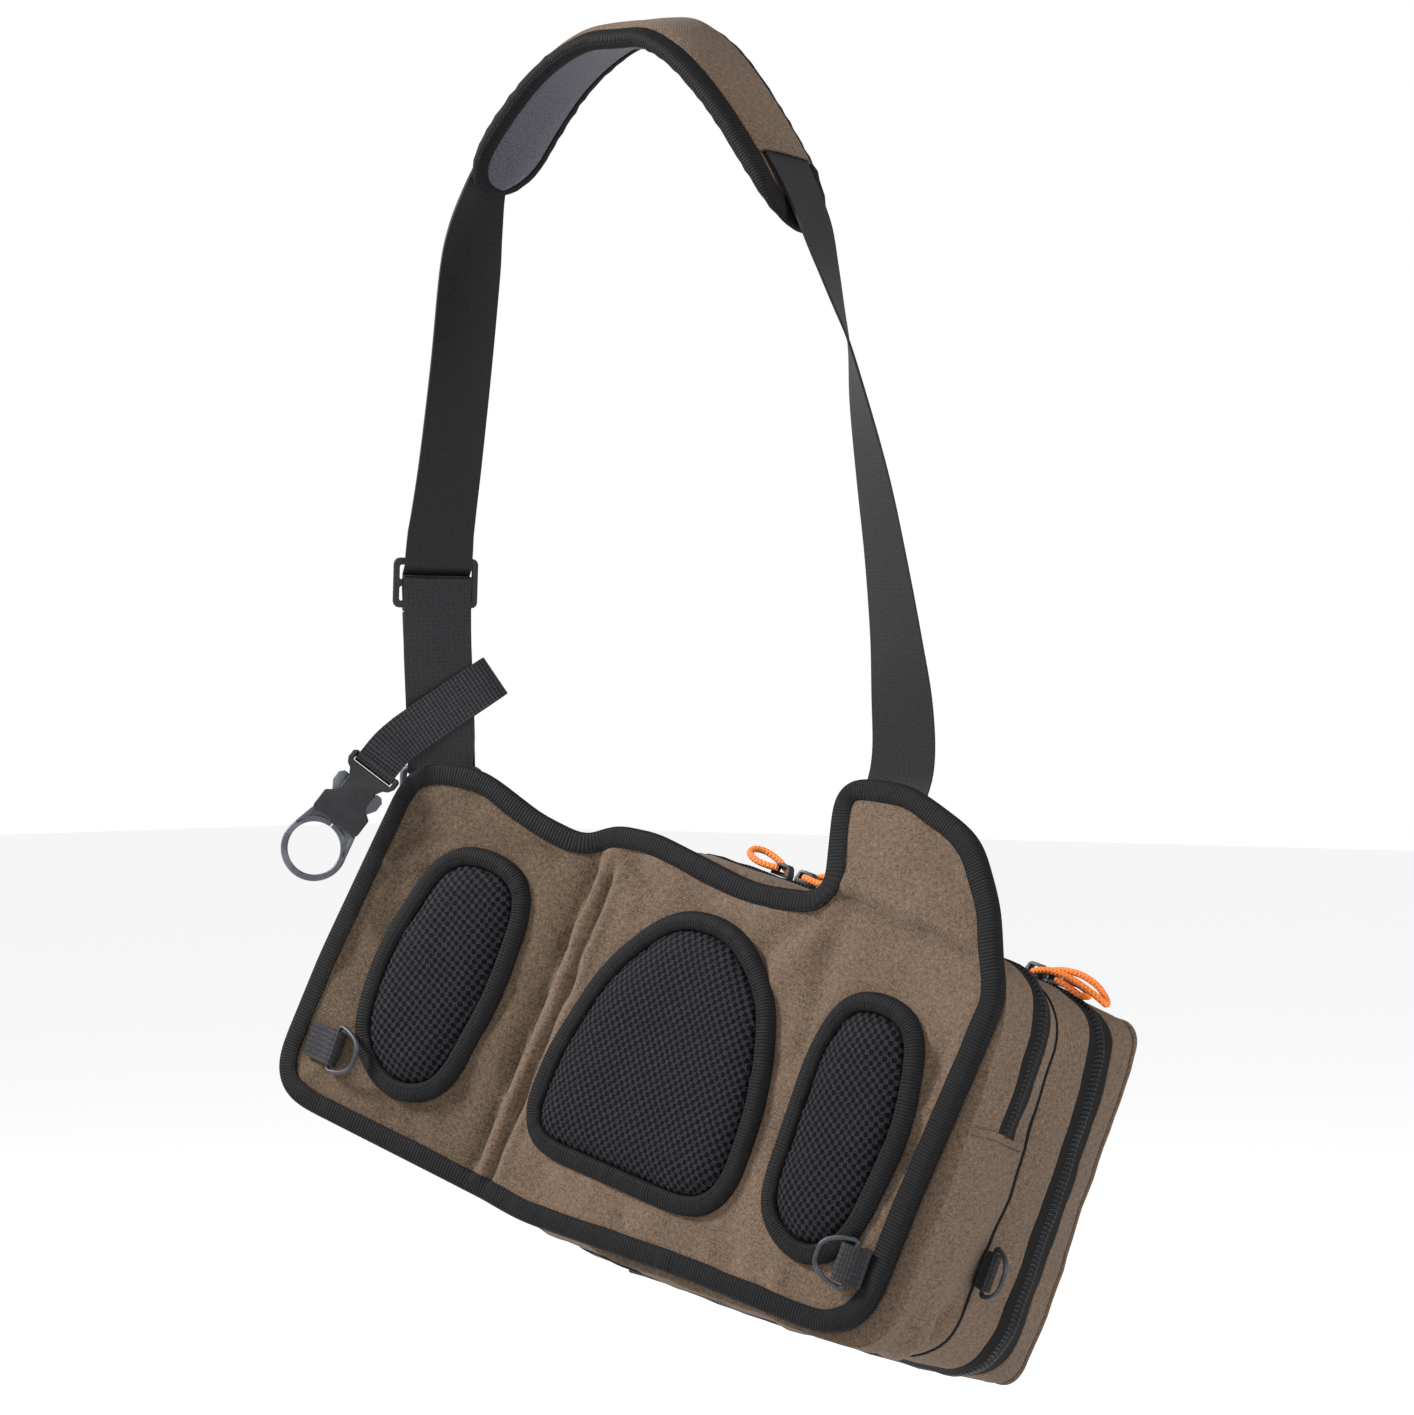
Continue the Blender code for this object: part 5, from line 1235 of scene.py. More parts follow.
@dataclass
class StrapRoute:
    """The strap's centre line, from the square ring up over the pad and down."""

    sheet: FoldedSheet
    steps: int = 8
    sewn_turn: float = 184.5
    stops: tuple = (
        Stop(-164.9, 14.3, -404, 24, 0), Stop(-164.3, 13.4, -396.5, 24, 0), Stop(-163, 11.8, -383, 36, 0),
        Stop(-161.7, 9.4, -364, 39.5, 0), Stop(-160.4, 6.6, -340, 40, 0), Stop(-159.6, 4.7, -315, 52, 0),
        Stop(-158.1, 3.3, -295.6, 53, 0), Stop(-155.7, 2.2, -277, 54, 0), Stop(-150.8, 1.2, -256, 63, 0),
        Stop(-144.5, 0.6, -224.6, 68, 0), Stop(-136, 0.2, -171.8, 71, 0), Stop(-129, 0, -119, 72, 0),
        Stop(-124.6, 0, -94, 82, 0), Stop(-117.6, 0, -71.5, 96, 3), Stop(-110, 0, -59, 98, 4),
        Stop(-93, 0, -37, 98, 5), Stop(-68.5, 0, -13, 98, 7), Stop(-45, 0, 2, 96, 9), Stop(-21, 0, 10.4, 94, 11),
        Stop(2, 0, 10.7, 94, 12), Stop(25, 0, 8, 95, 12), Stop(46.5, 0, -4.5, 96, 11),
        Stop(65.5, 0, -22.5, 97, 9), Stop(84.5, 0, -45.5, 98, 7), Stop(103, 0, -71.5, 98, 5),
        Stop(114, 0, -90, 100, 3), Stop(123.8, 0, -111, 102, 1), Stop(129, 3.9, -133.4, 110.5, 0),
        Stop(133.3, 8.1, -155, 119.5, 0), Stop(137.4, 12.2, -176, 128, 0), Stop(139.3, 17.8, -205, 140, 0),
        Stop(142.6, 26, -246.6, 152, 0), Stop(145, 34, -289, 160, 0), Stop(145.6, 42.5, -332, 170, 0),
        Stop(143.8, 50, -364.4, 181, 0), Stop(140.4, 56, -393, 184, 0),
    )
    sewn_end: tuple = ((169, 13.6, 297), (168.5, 12, 270), (168, 10.6, 257), (167.5, 8.1, 243))
    places: list = field(init=False)
    lengths: list = field(init=False)
    widths: list = field(init=False)
    heights: list = field(init=False)

    def __post_init__(self) -> None:
        """Work out the route's places and directions."""
        rows = [Vector(stop) for stop in self.stops]
        for spot in self.sewn_end:
            rows.append(Vector((*(self.sheet.matrix @ Vector(spot)), self.sewn_turn, 0.0)))
        dense = smooth_curve(rows, self.steps)
        self.places = [Vector(row[:3]) for row in dense]
        self.lengths = lengths_along(self.places)
        self.widths, self.heights = [], []
        for k, row in enumerate(dense):
            before, after = neighbours(self.places, k, closed=False)
            ahead = (after - before).normalized()
            turn, roll = math.radians(row[3]), math.radians(row[4])
            width = Vector((math.cos(turn) * math.cos(roll), math.sin(turn) * math.cos(roll), math.sin(roll)))
            width = (width - ahead * width.dot(ahead)).normalized()
            self.widths.append(width)
            self.heights.append(ahead.cross(width))

    def length_at(self, stop: int) -> float:
        """Arc length of a stop of the table."""
        return self.lengths[stop * self.steps]

    def place(self, s: float, across: float = 0.0, rise: float = 0.0) -> Vector:
        """World place at a length, a distance across the webbing and a height above it."""
        k = min(max(bisect_right(self.lengths, s) - 1, 0), len(self.lengths) - 2)
        f = (s - self.lengths[k]) / (self.lengths[k + 1] - self.lengths[k])
        width = self.widths[k].lerp(self.widths[k + 1], f)
        height = self.heights[k].lerp(self.heights[k + 1], f)
        return self.places[k].lerp(self.places[k + 1], f) + width * across + height * rise

    def stations(self, start: float, end: float, every: float = 4.0) -> list[float]:
        """Evenly spaced lengths from start to end."""
        count = max(2, round((end - start) / every))
        return [start + (end - start) * k / count for k in range(count + 1)]

    def matrix(self, s: float) -> Matrix:
        """Frame at a length: x across, y along the height, z down the strap."""
        across = (self.place(s, 1) - self.place(s)).normalized()
        height = (self.place(s, 0, 1) - self.place(s)).normalized()
        turn = Matrix((across, height, across.cross(height))).transposed().to_4x4()
        return Matrix.Translation(self.place(s)) @ turn


@dataclass
class Strap:
    """Main webbing, adjusting loop, slider, square ring and its tab."""

    route: StrapRoute
    width: float = 39.5
    thickness: float = 1.4
    slider_stop: int = 6
    ring_wrap: float = 3.1
    tilt: float = -8.0
    ring_drop: float = 28.0
    across_steps: int = 8
    weave_strap: tuple = ((-16, 2.8), (-9, 2.9), (-3, 4.7), (1.4, 4.9), (4.4, 4.0), (7.2, 0.6), (9.0, -2.1),
                          (11.2, -2.8), (15.4, -2.8), (21, -2.0), (29, 0.0))
    weave_hook: tuple = ((-2.2, 2.8), (0, 2.9), (2.2, 2.8), (3.3, 1.6), (3.3, -1.6), (2.2, -2.8), (0, -2.9))
    loop_front: tuple = ((-4, -2.9), (-16, -2.9), (-26, -1.7), (-38, -1.0))
    ear_tab: tuple = ((5, 0.0), (14, 0.45), (26, 1.0), (46, 1.0))
    ear_levels: tuple[float, float] = (6.05, 7.75)

    def ribbon(self, path: Sequence[tuple[float, float]]) -> Cloth:
        """Webbing along (length, height) pairs of the route."""
        half = self.width / 2
        line = [Vector((s, height, -half, half)) for s, height in path]
        rings = webbing_rings(line, self.across_steps, self.thickness,
                              lambda s, height, across: self.route.place(s, across, height), closed=False)
        along = lengths_along([(r[0] + r[self.across_steps]) / 2 for r in rings])
        return Cloth().sweep(rings, along, sheet_sides(self.width, self.across_steps))

    def build(self, dresser: Dresser) -> None:
        """Make the webbing and its hardware."""
        route = self.route
        middle = route.length_at(self.slider_stop)
        weave = [(middle + along, rise) for along, rise in self.weave_strap]
        rest = [(s, 0.0) for s in route.stations(weave[-1][0] + 6, route.lengths[-1])]
        dresser.finish(self.ribbon(weave + rest).mesh, "strap_webbing", Finish.WEBBING, "strap_main",
                       sharp=60)
        front = [(middle + along, rise) for along, rise in self.weave_hook + self.loop_front]
        low = [s for s in route.stations(14, front[-1][0] - 4, 5.0) if s > 10]
        down = [(s, -1.0) for s in reversed(low)]
        wrap = arc(300, -240, 12, self.ring_wrap, self.ring_wrap)
        up = [(s, 1.0) for s in low] + [(middle - 26, 1.5), (middle - 16.6, 2.7)]
        dresser.finish(self.ribbon(front + down + wrap + up).mesh, "strap_loop_webbing", Finish.LOOP_WEBBING,
                       "strap_adjust_loop", sharp=60)
        dresser.copied("strap_slider", "slider_plate", Finish.DARK_PLASTIC, edge=0.7)
        dresser.copied("square_ring", "square_ring_wire", Finish.GREY_PLASTIC, wire=True)
        self.build_ring_tab(dresser)

    def build_ring_tab(self, dresser: Dresser) -> None:
        """Make the webbing from the square ring's lower bar to the back of the left ear."""
        sheet = self.route.sheet
        wing = sheet.matrix @ Matrix.Rotation(math.radians(sheet.wing_bend), 4, "Z")
        to_wing = wing.inverted()
        square = self.route.matrix(0) @ Matrix.Rotation(math.radians(self.tilt), 4, "X")
        ring = square @ Matrix.Translation((0, 0, -self.ring_drop))

        def spot(down: float, share: float, height: float, level: float, across: float) -> Vector:
            free = to_wing @ ring @ Vector((across, height, -down))
            flat = to_wing @ ring @ Vector((across, 0, -down))
            return free.lerp(Vector((flat.x, level, flat.z)), share)

        path = [(down, share, -self.ring_wrap, self.ear_levels[0]) for down, share in reversed(self.ear_tab)]
        path += [(down, 0.0, height, 0.0) for down, height in arc(270, -180, 8, self.ring_wrap, self.ring_wrap)]
        path += [(down, share, self.ring_wrap, self.ear_levels[1]) for down, share in self.ear_tab]
        half = self.width / 2
        spots = [-half + self.width * k / 4 for k in range(5)]
        lines = [[spot(*row, x) for row in path] for x in spots]
        rings = []
        for k in range(len(path)):
            before, after = neighbours(lines[2], k, closed=False)
            normal = (after - before).cross(lines[-1][k] - lines[0][k]).normalized() * self.thickness / 2
            rings.append([wing @ (line[k] - normal) for line in lines]
                         + [wing @ (line[k] + normal) for line in reversed(lines)])
        cloth = Cloth().sweep(rings, lengths_along([r[0] for r in rings]), sheet_sides(self.width, 4))
        dresser.finish(cloth.mesh, "ring_tab_webbing", Finish.WEBBING, "ring_tab", sharp=60)


@dataclass
class ShoulderPad:
    """Padded core, knitted lining, edge tape and the sleeve that the webbing runs through."""

    route: StrapRoute
    first_stop: int = 13
    last_stop: int = 26
    sleeve_stops: tuple[int, int] = (15, 24)
    half: float = 33.0
    tip: float = 30.0
    tip_drop: float = 2.6
    under_web: float = 10.7
    sleeve_half: float = 24.6
    tape: tuple = ((7.4, 0.6, 0.0), (7.4, -0.2, 0.0), (4.4, -0.3, 0.0), (1.8, 0.4, 0.0), (0.5, 1.6, 0.1),
                   (0.0, 4.4, 0.5), (0.5, 7.0, 0.9), (2.0, 8.5, 1.0), (5.0, 9.5, 1.0), (8.4, 10.4, 1.0),
                   (9.2, 10.1, 1.0), (9.0, 9.2, 1.0), (1.6, 6.6, 1.0), (1.6, 2.0, 0.0), (7.4, 1.6, 0.0))
    folds: tuple = (Dent(4, 0, 4, 40, 2.8), Dent(16, 0, 5, 40, -1.6), Dent(27, 0, 4, 40, 2.4),
                    Dent(44, 0, 5, 40, -1.4), Dent(-10, 0, 5, 40, -1.2), Dent(-24, 0, 5, 40, 1.8),
                    Dent(58, 0, 4, 40, 1.8))

    def span(self) -> tuple[float, float]:
        """Where the pad starts and ends along the route."""
        return self.route.length_at(self.first_stop), self.route.length_at(self.last_stop)

    def half_width(self, s: float, inset: float) -> float:
        """Half of the pad's width at a length, round at both tips."""
        start, end = self.span()
        depth = min(s - start, end - s) - inset
        tip = self.tip - inset * 0.6
        half = self.half - inset
        if depth >= tip:
            return half
        return half * math.sqrt(max(0.0, 1 - (1 - depth / tip) ** 2))

    def drop(self, s: float) -> float:
        """How far the pad's upper side comes down towards its tips."""
        start, end = self.span()
        return self.tip_drop * (1 - ramp(min(s - start, end - s), 4, 42))

    def spot(self, s: float, across: float, rise: float, share: float) -> Vector:
        """World place of a point of the pad, its rise lowered by a share of the tips' drop."""
        return self.route.place(s, across, rise - self.under_web - self.drop(s) * share)

    def flat_outline(self) -> list[Vector]:
        """Closed outline of the pad in length and across."""
        start, end = self.span()
        tips = [0.0, 0.4, 1.2, 2.6, 4.8, 7.5, 11.0, 15.5, 21.0, 27.0]
        stations = [start + d for d in tips] + self.route.stations(start + 32, end - 32, 5.0)
        stations += [end - d for d in reversed(tips)]
        right = [Vector((s, self.half_width(s, 0))) for s in stations]
        left = [Vector((p.x, -p.y)) for p in reversed(right[1:-1])]
        return right + left

    def layer(self, inset: float, profile: Callable[[float, float], list[tuple[float, float, float]]]) -> Cloth:
        """A layer of the pad as sections across it.

        Args:
            inset: How far it stays inside the pad's edge.
            profile: Gives the section at a length and half width as (across, rise, share).

        Returns:
            The layer's mesh.
        """
        start, end = self.span()
        tips = [inset + d for d in (0.15, 0.8, 2.0, 4.0, 7.0, 11.0, 16.0, 22.0)]
        stations = [start + d for d in tips] + self.route.stations(start + 32, end - 32, 4.0)
        stations += [end - d for d in reversed(tips)]
        if inset > 5:
            stations = sorted({*stations, *self.route.stations(start + 34, end - 34, 2.0)})
        rings, around = [], []
        for s in stations:
            rows = profile(s, self.half_width(s, inset))
            rings.append([self.spot(s, *row) for row in rows])
            around = [row[0] for row in profile(s, self.half - inset)]
        return Cloth().sweep(rings, stations, [*around, around[0]])

    def build(self, dresser: Dresser) -> None:
        """Make the pad's layers and sleeve."""
        start, end = self.span()
        crest = (start + end) / 2

        def lining(s: float, half: float) -> list[tuple[float, float, float]]:
            spots = [-1 + k / 5 for k in range(11)]
            fold = sum(f.depth * math.exp(-((s - crest - f.x) / f.reach_x) ** 2) for f in self.folds)
            under = [(half * x, 0.9 + (1.1 * fold - 2.2) * (1 - x * x), 0.0) for x in spots]
            return under + [(half * x, 3.6, 0.0) for x in reversed(spots)]

        def core(s: float, half: float) -> list[tuple[float, float, float]]:
            upper = [(half, 4.5, 1.0), (half - min(2.0, half * 0.1), 6.9, 1.0),
                     (half - min(9.0, half * 0.35), 8.9, 1.0), (half * 0.35, 9.2, 1.0)]
            mirror = [(-x, rise, share) for x, rise, share in reversed(upper)]
            return [(-half, 2.4, 0.0), (0.0, 3.7, 0.0), (half, 2.4, 0.0)] + upper + mirror

        piece = dresser.finish(self.layer(6.4, lining).mesh, "pad_lining_knit", Finish.LINING, "pad_lining", sharp=70)
        piece = dresser.finish(self.layer(1.5, core).mesh, "pad_core_cloth", Finish.CLOTH, "shoulder_pad", sharp=60)
        self.build_tape(dresser)
        self.build_sleeve(dresser)

    def build_tape(self, dresser: Dresser) -> None:
        """Make the tape folded round the pad's edge, puckered where the pad bends."""
        flat = self.flat_outline()
        along = lengths_along(flat, closed=True)
        rings = []
        for p, n, s in zip(flat, inward_normals(flat), along):
            pucker = 0.25 * math.sin(s / 1.9) * ramp(abs(p.y), 20, 32) + 0.7 * noise.noise(Vector((s / 7, 1, 1)))
            rings.append([self.spot(p.x + n.x * d, p.y + n.y * d, rise + pucker * (d < 7 and 0 < rise < 9), share)
                          for d, rise, share in self.tape])
        around = lengths_along([row[:2] for row in self.tape], closed=True)
        cloth = Cloth().sweep(rings, along, around, closed=True)
        dresser.finish(cloth.mesh, "pad_edge_tape", Finish.TAPE, "pad_edge_binding", sharp=75)

    def build_sleeve(self, dresser: Dresser) -> None:
        """Make the brown sleeve over the webbing, stitched down both sides."""
        a, b, half = 9.3, self.under_web + 2.3, self.sleeve_half
        profile = ((-half, a), (-half, a + 1.1), (-half + 0.9, a + 1.7), (-21.4, b - 0.9), (-19.4, b), (-8, b + 0.5),
                   (8, b + 0.5), (19.4, b), (21.4, b - 0.9), (half - 0.9, a + 1.7), (half, a + 1.1), (half, a),
                   (20.6, a), (20.2, b - 1), (8, b - 0.7), (-8, b - 0.7), (-20.2, b - 1), (-20.6, a))
        first, last = (self.route.length_at(stop) for stop in self.sleeve_stops)
        stations = sorted({*self.route.stations(first, last, 4.0), last - 5.8, last - 5.2, last - 4.6})
        rings = []
        for s in stations:
            sag = 0.5 * noise.noise(Vector((s / 15, 2.0, 3.0))) - 0.7 * (abs(s - last + 5.2) < 0.1)
            rings.append([self.route.place(s, x, rise - self.under_web + sag * (abs(x) < 20)) for x, rise in profile])
        cloth = Cloth().sweep(rings, stations, lengths_along(profile, closed=True))
        dresser.finish(cloth.mesh, "strap_sleeve", Finish.CLOTH, "pad_sleeve", sharp=60)


@dataclass
class RingTabs:
    """The three webbing tabs with their D-rings."""

    sheet: FoldedSheet
    width: float = 20.5
    thickness: float = 1.4
    wire: float = 2.6
    spots: dict = field(default_factory=lambda: {
        "right": TabSpot(False, 254.5, -5.5, 52.2, 17.0, 8.0, 8.0, 1.0),
        "left": TabSpot(True, -120.6, -4.9, 47.2, 172.0, 18.6, 4.6, -10.0),
        "side": TabSpot(False, 296.2, 59.4, 70.0, 163.0, 7.5, 4.2, -17.0),
    })

    def build(self, dresser: Dresser) -> None:
        """Make each tab and dress its ring."""
        for side, spot in self.spots.items():
            frame = self.sheet.matrix
            if spot.wing:
                frame = frame @ Matrix.Rotation(math.radians(self.sheet.wing_bend), 4, "Z")
            frame = frame @ Matrix.Translation((spot.u, spot.t, spot.w)) @ Matrix.Rotation(
                math.radians(spot.turn), 4, "Z")
            self.build_tab(dresser, side, spot, frame)
            dresser.copied("d_ring_" + side, "ring_wire_" + side, Finish.RING_PLASTIC, body=side + "_ring", wire=True)

    def build_tab(self, dresser: Dresser, side: str, spot: TabSpot, frame: Matrix) -> None:
        """Make the webbing folded round a ring's bar."""
        eye = self.wire / 2 + 1.1
        low = 0.15 + self.thickness / 2
        half = [Vector((spot.length, low)), Vector((min(7.0, spot.length - 2), low)), Vector((2.6, eye - 0.1)),
                Vector((0.2, eye + 0.15)), Vector((-2.4, eye)), Vector((1.4 - spot.slack, low + 0.9)),
                Vector((0.2 - spot.slack, low))]
        line = smooth_curve(half, 3)
        line = line + [Vector((p.x, -p.y)) for p in reversed(line)]
        rows = [Vector((*p, -self.width / 2, self.width / 2)) for p in line]
        rings = webbing_rings(rows, 6, self.thickness, lambda *spot: frame @ Vector(spot))
        cloth = Cloth().sweep(rings, lengths_along(line, closed=True), sheet_sides(self.width, 6), closed=True)
        dresser.finish(cloth.mesh, "tab_webbing_" + side, Finish.TAB_WEBBING, "tab_" + side, sharp=70)


@dataclass
class RingClip:
    """Webbing loop round the strap, the buckle's socket and the ring piece."""

    origin: tuple[float, float, float] = (-190.1, -14.2, -403.4)
    view_turn: float = 39.5
    turn: tuple = ((0, 52.5), (7, 52.5), (31, 34.0))
    sway: tuple = ((0, -9), (3.6, -9), (10, -6.5), (20, -1.5), (26, 0))
    bar: tuple[float, float] = (0.75, 3.2)
    ring: tuple[float, float, float] = (-58.3, 15.5, 19.25)
    ring_section: tuple = ((0.0, -1.6), (0.7, -2.3), (3.0, -2.3), (3.75, -1.6), (3.75, 1.6), (3.0, 2.3), (0.7, 2.3),
                           (0.0, 1.6))
    web: tuple = ((-34, 8), (-38, 12), (-40, 14.6), (-52, 17.6), (-50.5, 15.4), (-46.5, 12), (-43.6, 7.4),
                  (-40.6, 1.0))
    rail: tuple = ((-38.8, 15.2), (-52.4, 18.3), (-53.2, 15.8), (-48, 14.2), (-38.8, 12.4))
    prong: tuple = ((-34, 2), (-34, 8), (-16, 8.6), (-11.6, 10), (-11.6, 13.4), (-14, 15.6), (-19.5, 15.6),
                    (-24.5, 12.4), (-39.6, 12.4), (-40, 2))
    fixed: set = field(default_factory=set)
    thickness: float = 1.3
    loop: tuple = (
        Web(1.8, -3.1), Web(5.5, -1.2), Web(9, -2.6),
        Web(14, -4.8), Web(20, -5.6), Web(35, -5.8),
        Web(50, -5.8), Web(65, -5.8), Web(76, -5.6),
        Web(83.2, -5), Web(87, -2.7), Web(88.2, 0),
        Web(87, 2.7), Web(83.2, 5), Web(76, 5.8),
        Web(63, 6.3), Web(50, 6.8), Web(38, 9), Web(30, 11.8, -11, 12.7),
        Web(22, 14.2, -8, 12.5), Web(14, 13.8, -4.5, 11.5), Web(8.5, 8.6, -4.5, 11.5), Web(5, 2.8, -9, 12),
        Web(1.8, 3.1),
    )

    def place(self, along: float, height: float, across: float) -> Vector:
        """World place on the clip's webbing."""
        x = z = 0.0
        steps = max(1, round(abs(along)))
        step = along / steps
        for k in range(steps):
            slope = math.radians(table_value(self.turn, (k + 0.5) * step))
            x, z = x + step * math.cos(slope), z + step * math.sin(slope)
        slope = math.radians(table_value(self.turn, along))
        spot = Vector((x - across * math.sin(slope), height + table_value(self.sway, along),
                       z + across * math.cos(slope)))
        frame = Matrix.Translation(self.origin) @ Matrix.Rotation(math.radians(self.view_turn), 4, "Z")
        return frame @ spot

    def build(self, dresser: Dresser) -> None:
        """Make the webbing and dress the buckle."""
        middle, radius = self.bar
        low, high = self.loop[0].low, self.loop[0].high
        rows = smooth_curve([Vector(row) for row in self.loop], 2)
        rows += [Vector((middle + x, y, low, high)) for x, y in arc(115, 130, 8, radius, radius)]
        rings = webbing_rings(rows, 6, self.thickness, self.place)
        along = lengths_along([r[3] for r in rings], closed=True)
        cloth = Cloth().sweep(rings, along, sheet_sides(high - low, 6), closed=True)
        dresser.finish(cloth.mesh, "clip_loop_webbing", Finish.CLIP_WEBBING, "clip_webbing", sharp=70)
        turn = Matrix.Rotation(math.radians(self.view_turn), 4, "Z") @ Matrix.Rotation(
            math.radians(-self.turn[0][1]), 4, "Y")
        frame = Matrix.Translation(self.place(0, 0, 0)) @ turn
        back = frame.inverted()

        def narrowed(spot: Vector) -> Vector:
            here = back @ spot
            if abs(here.x + 6.2) < 0.2 and abs(here.z) < 13.6:
                here.x = -3.7
            return frame @ here

        dresser.copied("buckle_socket", "buckle_socket_body", Finish.DARK_PLASTIC, edge=0.6,
                       change=narrowed)
        self.build_catch(dresser, frame)

    def build_catch(self, dresser: Dresser, frame: Matrix) -> None:
        """Make the ring piece: a web with a rim, prongs and a round eye with a slit."""
        shape = bmesh.new()
        middle, inner, outer = self.ring
        web = [Vector(p) for p in self.web] + [Vector((p[0], -p[1])) for p in reversed(self.web)]
        self.plate(shape, web, 3.0)
        for side in (-1, 1):
            rail = [Vector((x, side * z)) for x, z in self.rail]
            self.plate(shape, rail, 4.6)
            prong = [Vector((x, side * z)) for x, z in self.prong]
            self.plate(shape, prong, 4.4)
        section = [Vector((inner + dx, dy)) for dx, dy in self.ring_section]
        verts = [shape.verts.new((p.x, p.y, 0)) for p in section]
        ring = [shape.edges.new((verts[k], verts[(k + 1) % len(verts)])) for k in range(len(verts))]
        gap = math.radians(3.2)
        bmesh.ops.rotate(shape, verts=verts, cent=(0, 0, 0), matrix=Matrix.Rotation(-gap / 2, 3, "Y"))
        swept = bmesh.ops.spin(shape, geom=verts + ring, cent=(0, 0, 0), axis=(0, 1, 0), dvec=(0, 0, 0),
                               angle=-(math.tau - gap), steps=72, use_duplicate=False)["geom_last"]
        ends = [e for e in swept if isinstance(e, bmesh.types.BMEdge)]
        bmesh.ops.edgeloop_fill(shape, edges=ring)
        bmesh.ops.edgeloop_fill(shape, edges=ends)
        moved = {v for f in shape.faces for v in f.verts if (Vector((v.co.x, v.co.z)).length < outer + 0.5)}
        bmesh.ops.translate(shape, verts=[v for v in shape.verts if v in moved and v not in self.fixed],
                            vec=(middle, 0, 0))
        bmesh.ops.recalc_face_normals(shape, faces=shape.faces)
        bmesh.ops.transform(shape, matrix=frame, verts=shape.verts)
        dresser.finish(shape, "catch_ring_plate", Finish.GREY_PLASTIC, "buckle_catch_ring",
                       sharp=40)

    def plate(self, shape: bmesh.types.BMesh, outline: Sequence[Vector], thickness: float) -> None:
        """Add a plate with rounded edges, standing in x and z."""
        face = shape.faces.new([shape.verts.new((p.x, -thickness / 2, p.y)) for p in outline])
        grown = bmesh.ops.extrude_face_region(shape, geom=[face], use_keep_orig=True)["geom"]
        verts = [v for v in grown if isinstance(v, bmesh.types.BMVert)]
        bmesh.ops.translate(shape, verts=verts, vec=(0, thickness, 0))
        faces = {f for v in [*verts, *face.verts] for f in v.link_faces}
        rims = [e for e in {e for f in faces for e in f.edges} if len(e.link_faces) == 2
                and e.calc_face_angle(0.0) > math.radians(60)]
        made = bmesh.ops.bevel(shape, geom=rims, offset=0.45, segments=2, profile=0.5, affect="EDGES", material=-1,
                               clamp_overlap=True)
        self.fixed.update(made["verts"])
        self.fixed.update(v for f in faces if f.is_valid for v in f.verts)


@dataclass
class ZipPulls:
    """Zip sliders and their orange cord pulls."""

    sheet: FoldedSheet
    diameter: float = 3.8
    sides: int = 12
    cords: dict = field(default_factory=lambda: {
        "pull_cord_1": ((94, 45.5, 233), (86, 46.5, 236.5), (77, 45, 239), (71.5, 41, 238.5), (72, 36.5, 235.5),
                        (79, 34.5, 233), (87, 35, 232.5), (93.5, 36.5, 233)),
        "pull_cord_2": ((113, 45.5, 233.5), (119, 46.5, 237), (127, 46, 237.5), (135, 44.5, 235), (139, 40.5, 233),
                        (136, 36.5, 232.4), (127, 35.5, 232.8), (119, 35.6, 233), (113, 36.5, 233.2)),
        "pull_cord_3": ((235, 110.2, 226.5), (243, 111.4, 231.5), (256, 113, 233.5), (269, 113, 231),
                        (279, 110, 226), (283, 105, 223.5), (278, 100.5, 226), (264, 97.8, 229.8),
                        (250, 97.6, 230.6), (242, 98.4, 229.2), (235, 99.8, 226.5)),
        "pull_cord_4": ((251, 110, 227.5), (259, 110.4, 228), (267, 108, 226.3), (271, 104.6, 224.2),
                        (268, 101.8, 223.2), (262, 99.9, 224.8), (257, 99.7, 226), (251, 100, 227)),
    })

    def build(self, dresser: Dresser) -> None:
        """Make the cords and dress the sliders."""
        around_unit = arc(0, 360, self.sides)[:-1]
        for name, stops in self.cords.items():
            line = smooth_curve([self.sheet.matrix @ Vector(p) for p in stops], 4)
            along = lengths_along(line)
            rings = []
            side = (line[1] - line[0]).normalized().orthogonal().normalized()
            for k, here in enumerate(line):
                before, after = neighbours(line, k, closed=False)
                ahead = (after - before).normalized()
                side = (side - ahead * side.dot(ahead)).normalized()
                up = ahead.cross(side)
                rings.append([here + (side * x + up * y) * self.diameter / 2 for x, y in around_unit])
            around = [math.pi * self.diameter * j / self.sides for j in range(self.sides + 1)]
            cloth = Cloth().sweep(rings, along, around)
            cord = dresser.finish(cloth.mesh, name + "_sheath", Finish.ORANGE_CORD, name, sharp=80)
            line[0] * MM
            [p * MM for p in line]
        for number in (1, 2, 3, 4):
            dresser.copied(f"zip_slider_{number}", f"zip_slider_body_{number}", Finish.DARK_PLASTIC, edge=0.5)


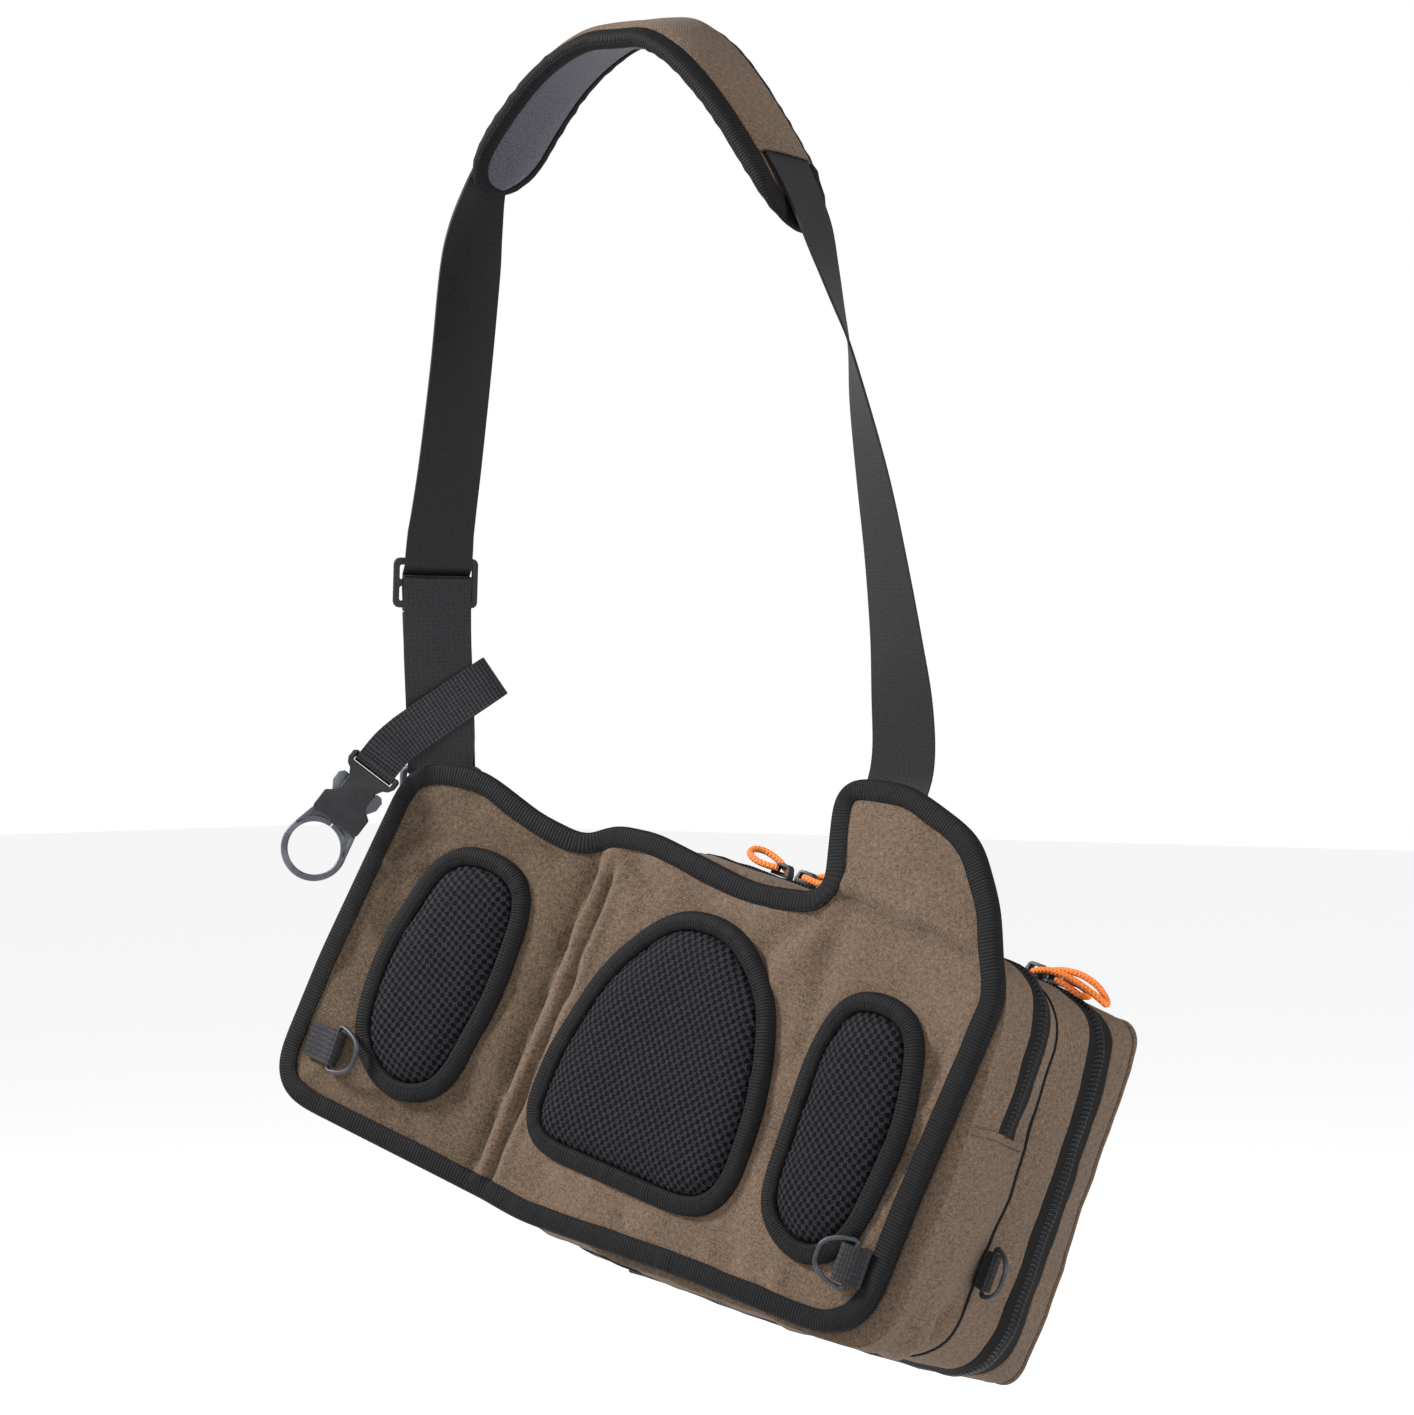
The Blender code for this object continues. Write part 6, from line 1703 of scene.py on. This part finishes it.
@dataclass
class Studio:
    """Camera, soft lights and a plain pale floor."""

    eye: tuple[float, float, float] = (1.396, -1.635, -0.368)
    azimuth: float = 39.5
    lens: float = 98.5
    floor_z: float = -1.02
    ambient: float = 0.26

    def build(self) -> None:
        """Set up the camera, the world, the lights and the floor."""
        scene = bpy.context.scene
        scene.view_settings.view_transform = "Standard"
        data = bpy.data.cameras.new("photo_camera")
        data.lens, data.sensor_width = self.lens, 36.0
        camera = bpy.data.objects.new("photo_camera", data)
        camera.location = self.eye
        camera.rotation_euler = (math.radians(90), 0, math.radians(self.azimuth))
        scene.collection.objects.link(camera)
        scene.camera = camera
        world = bpy.data.worlds.new("white_studio")
        world.use_nodes = True
        seen = add(world.node_tree, "LightPath", out="Is Camera Ray")
        connect(world.node_tree.nodes["Background"], {
            "Color": (1, 1, 1, 1), "Strength": add(world.node_tree, "MapRange", {0: seen, 3: self.ambient, 4: 1.0})})
        scene.world = world
        self.lamp("key", (-1.25, -1.05, 0.7), (0.0, 0.0, -0.5), 0.4, 60)
        self.lamp("front", (0.9, -1.5, 0.3), (0.0, 0.0, -0.5), 0.9, 7)
        self.lamp("side", (1.9, 0.1, 0.5), (0.1, 0.05, -0.5), 0.6, 26)
        floor = bmesh.new()
        bmesh.ops.create_grid(floor, x_segments=1, y_segments=1, size=14.0)
        bmesh.ops.translate(floor, vec=(0, 0, self.floor_z), verts=floor.verts)
        mesh = bpy.data.meshes.new("studio_floor")
        floor.to_mesh(mesh)
        floor.free()
        piece = bpy.data.objects.new("studio_floor", mesh)
        mesh.materials.append(Finish.FLOOR.value.build())
        scene.collection.objects.link(piece)

    def lamp(self, name: str, place: tuple[float, float, float], aim: tuple[float, float, float], size: float,
             watts: float) -> None:
        """Add an area light that faces a point."""
        data = bpy.data.lights.new(name, "AREA")
        data.size, data.energy = size, watts
        lamp = bpy.data.objects.new(name, data)
        lamp.location = place
        lamp.rotation_euler = (Vector(aim) - Vector(place)).to_track_quat("-Z", "Y").to_euler()
        bpy.context.scene.collection.objects.link(lamp)


def main() -> None:
    """Load the frame, set up the studio and dress every sub-assembly."""
    logging.basicConfig(level=logging.INFO, format="%(message)s")
    for item in list(bpy.data.objects):
        bpy.data.objects.remove(item, do_unlink=True)
    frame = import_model()
    dresser = Dresser(frame["nodes"])
    Studio().build()
    sheet = FoldedSheet()
    route = StrapRoute(sheet)
    for assembly in (BackPanel(sheet), BagBody(sheet), Strap(route), ShoulderPad(route), RingTabs(sheet),
                     RingClip(), ZipPulls(sheet)):
        assembly.build(dresser)
        LOG.info("%s done", type(assembly).__name__)


if __name__ == "__main__":
    main()
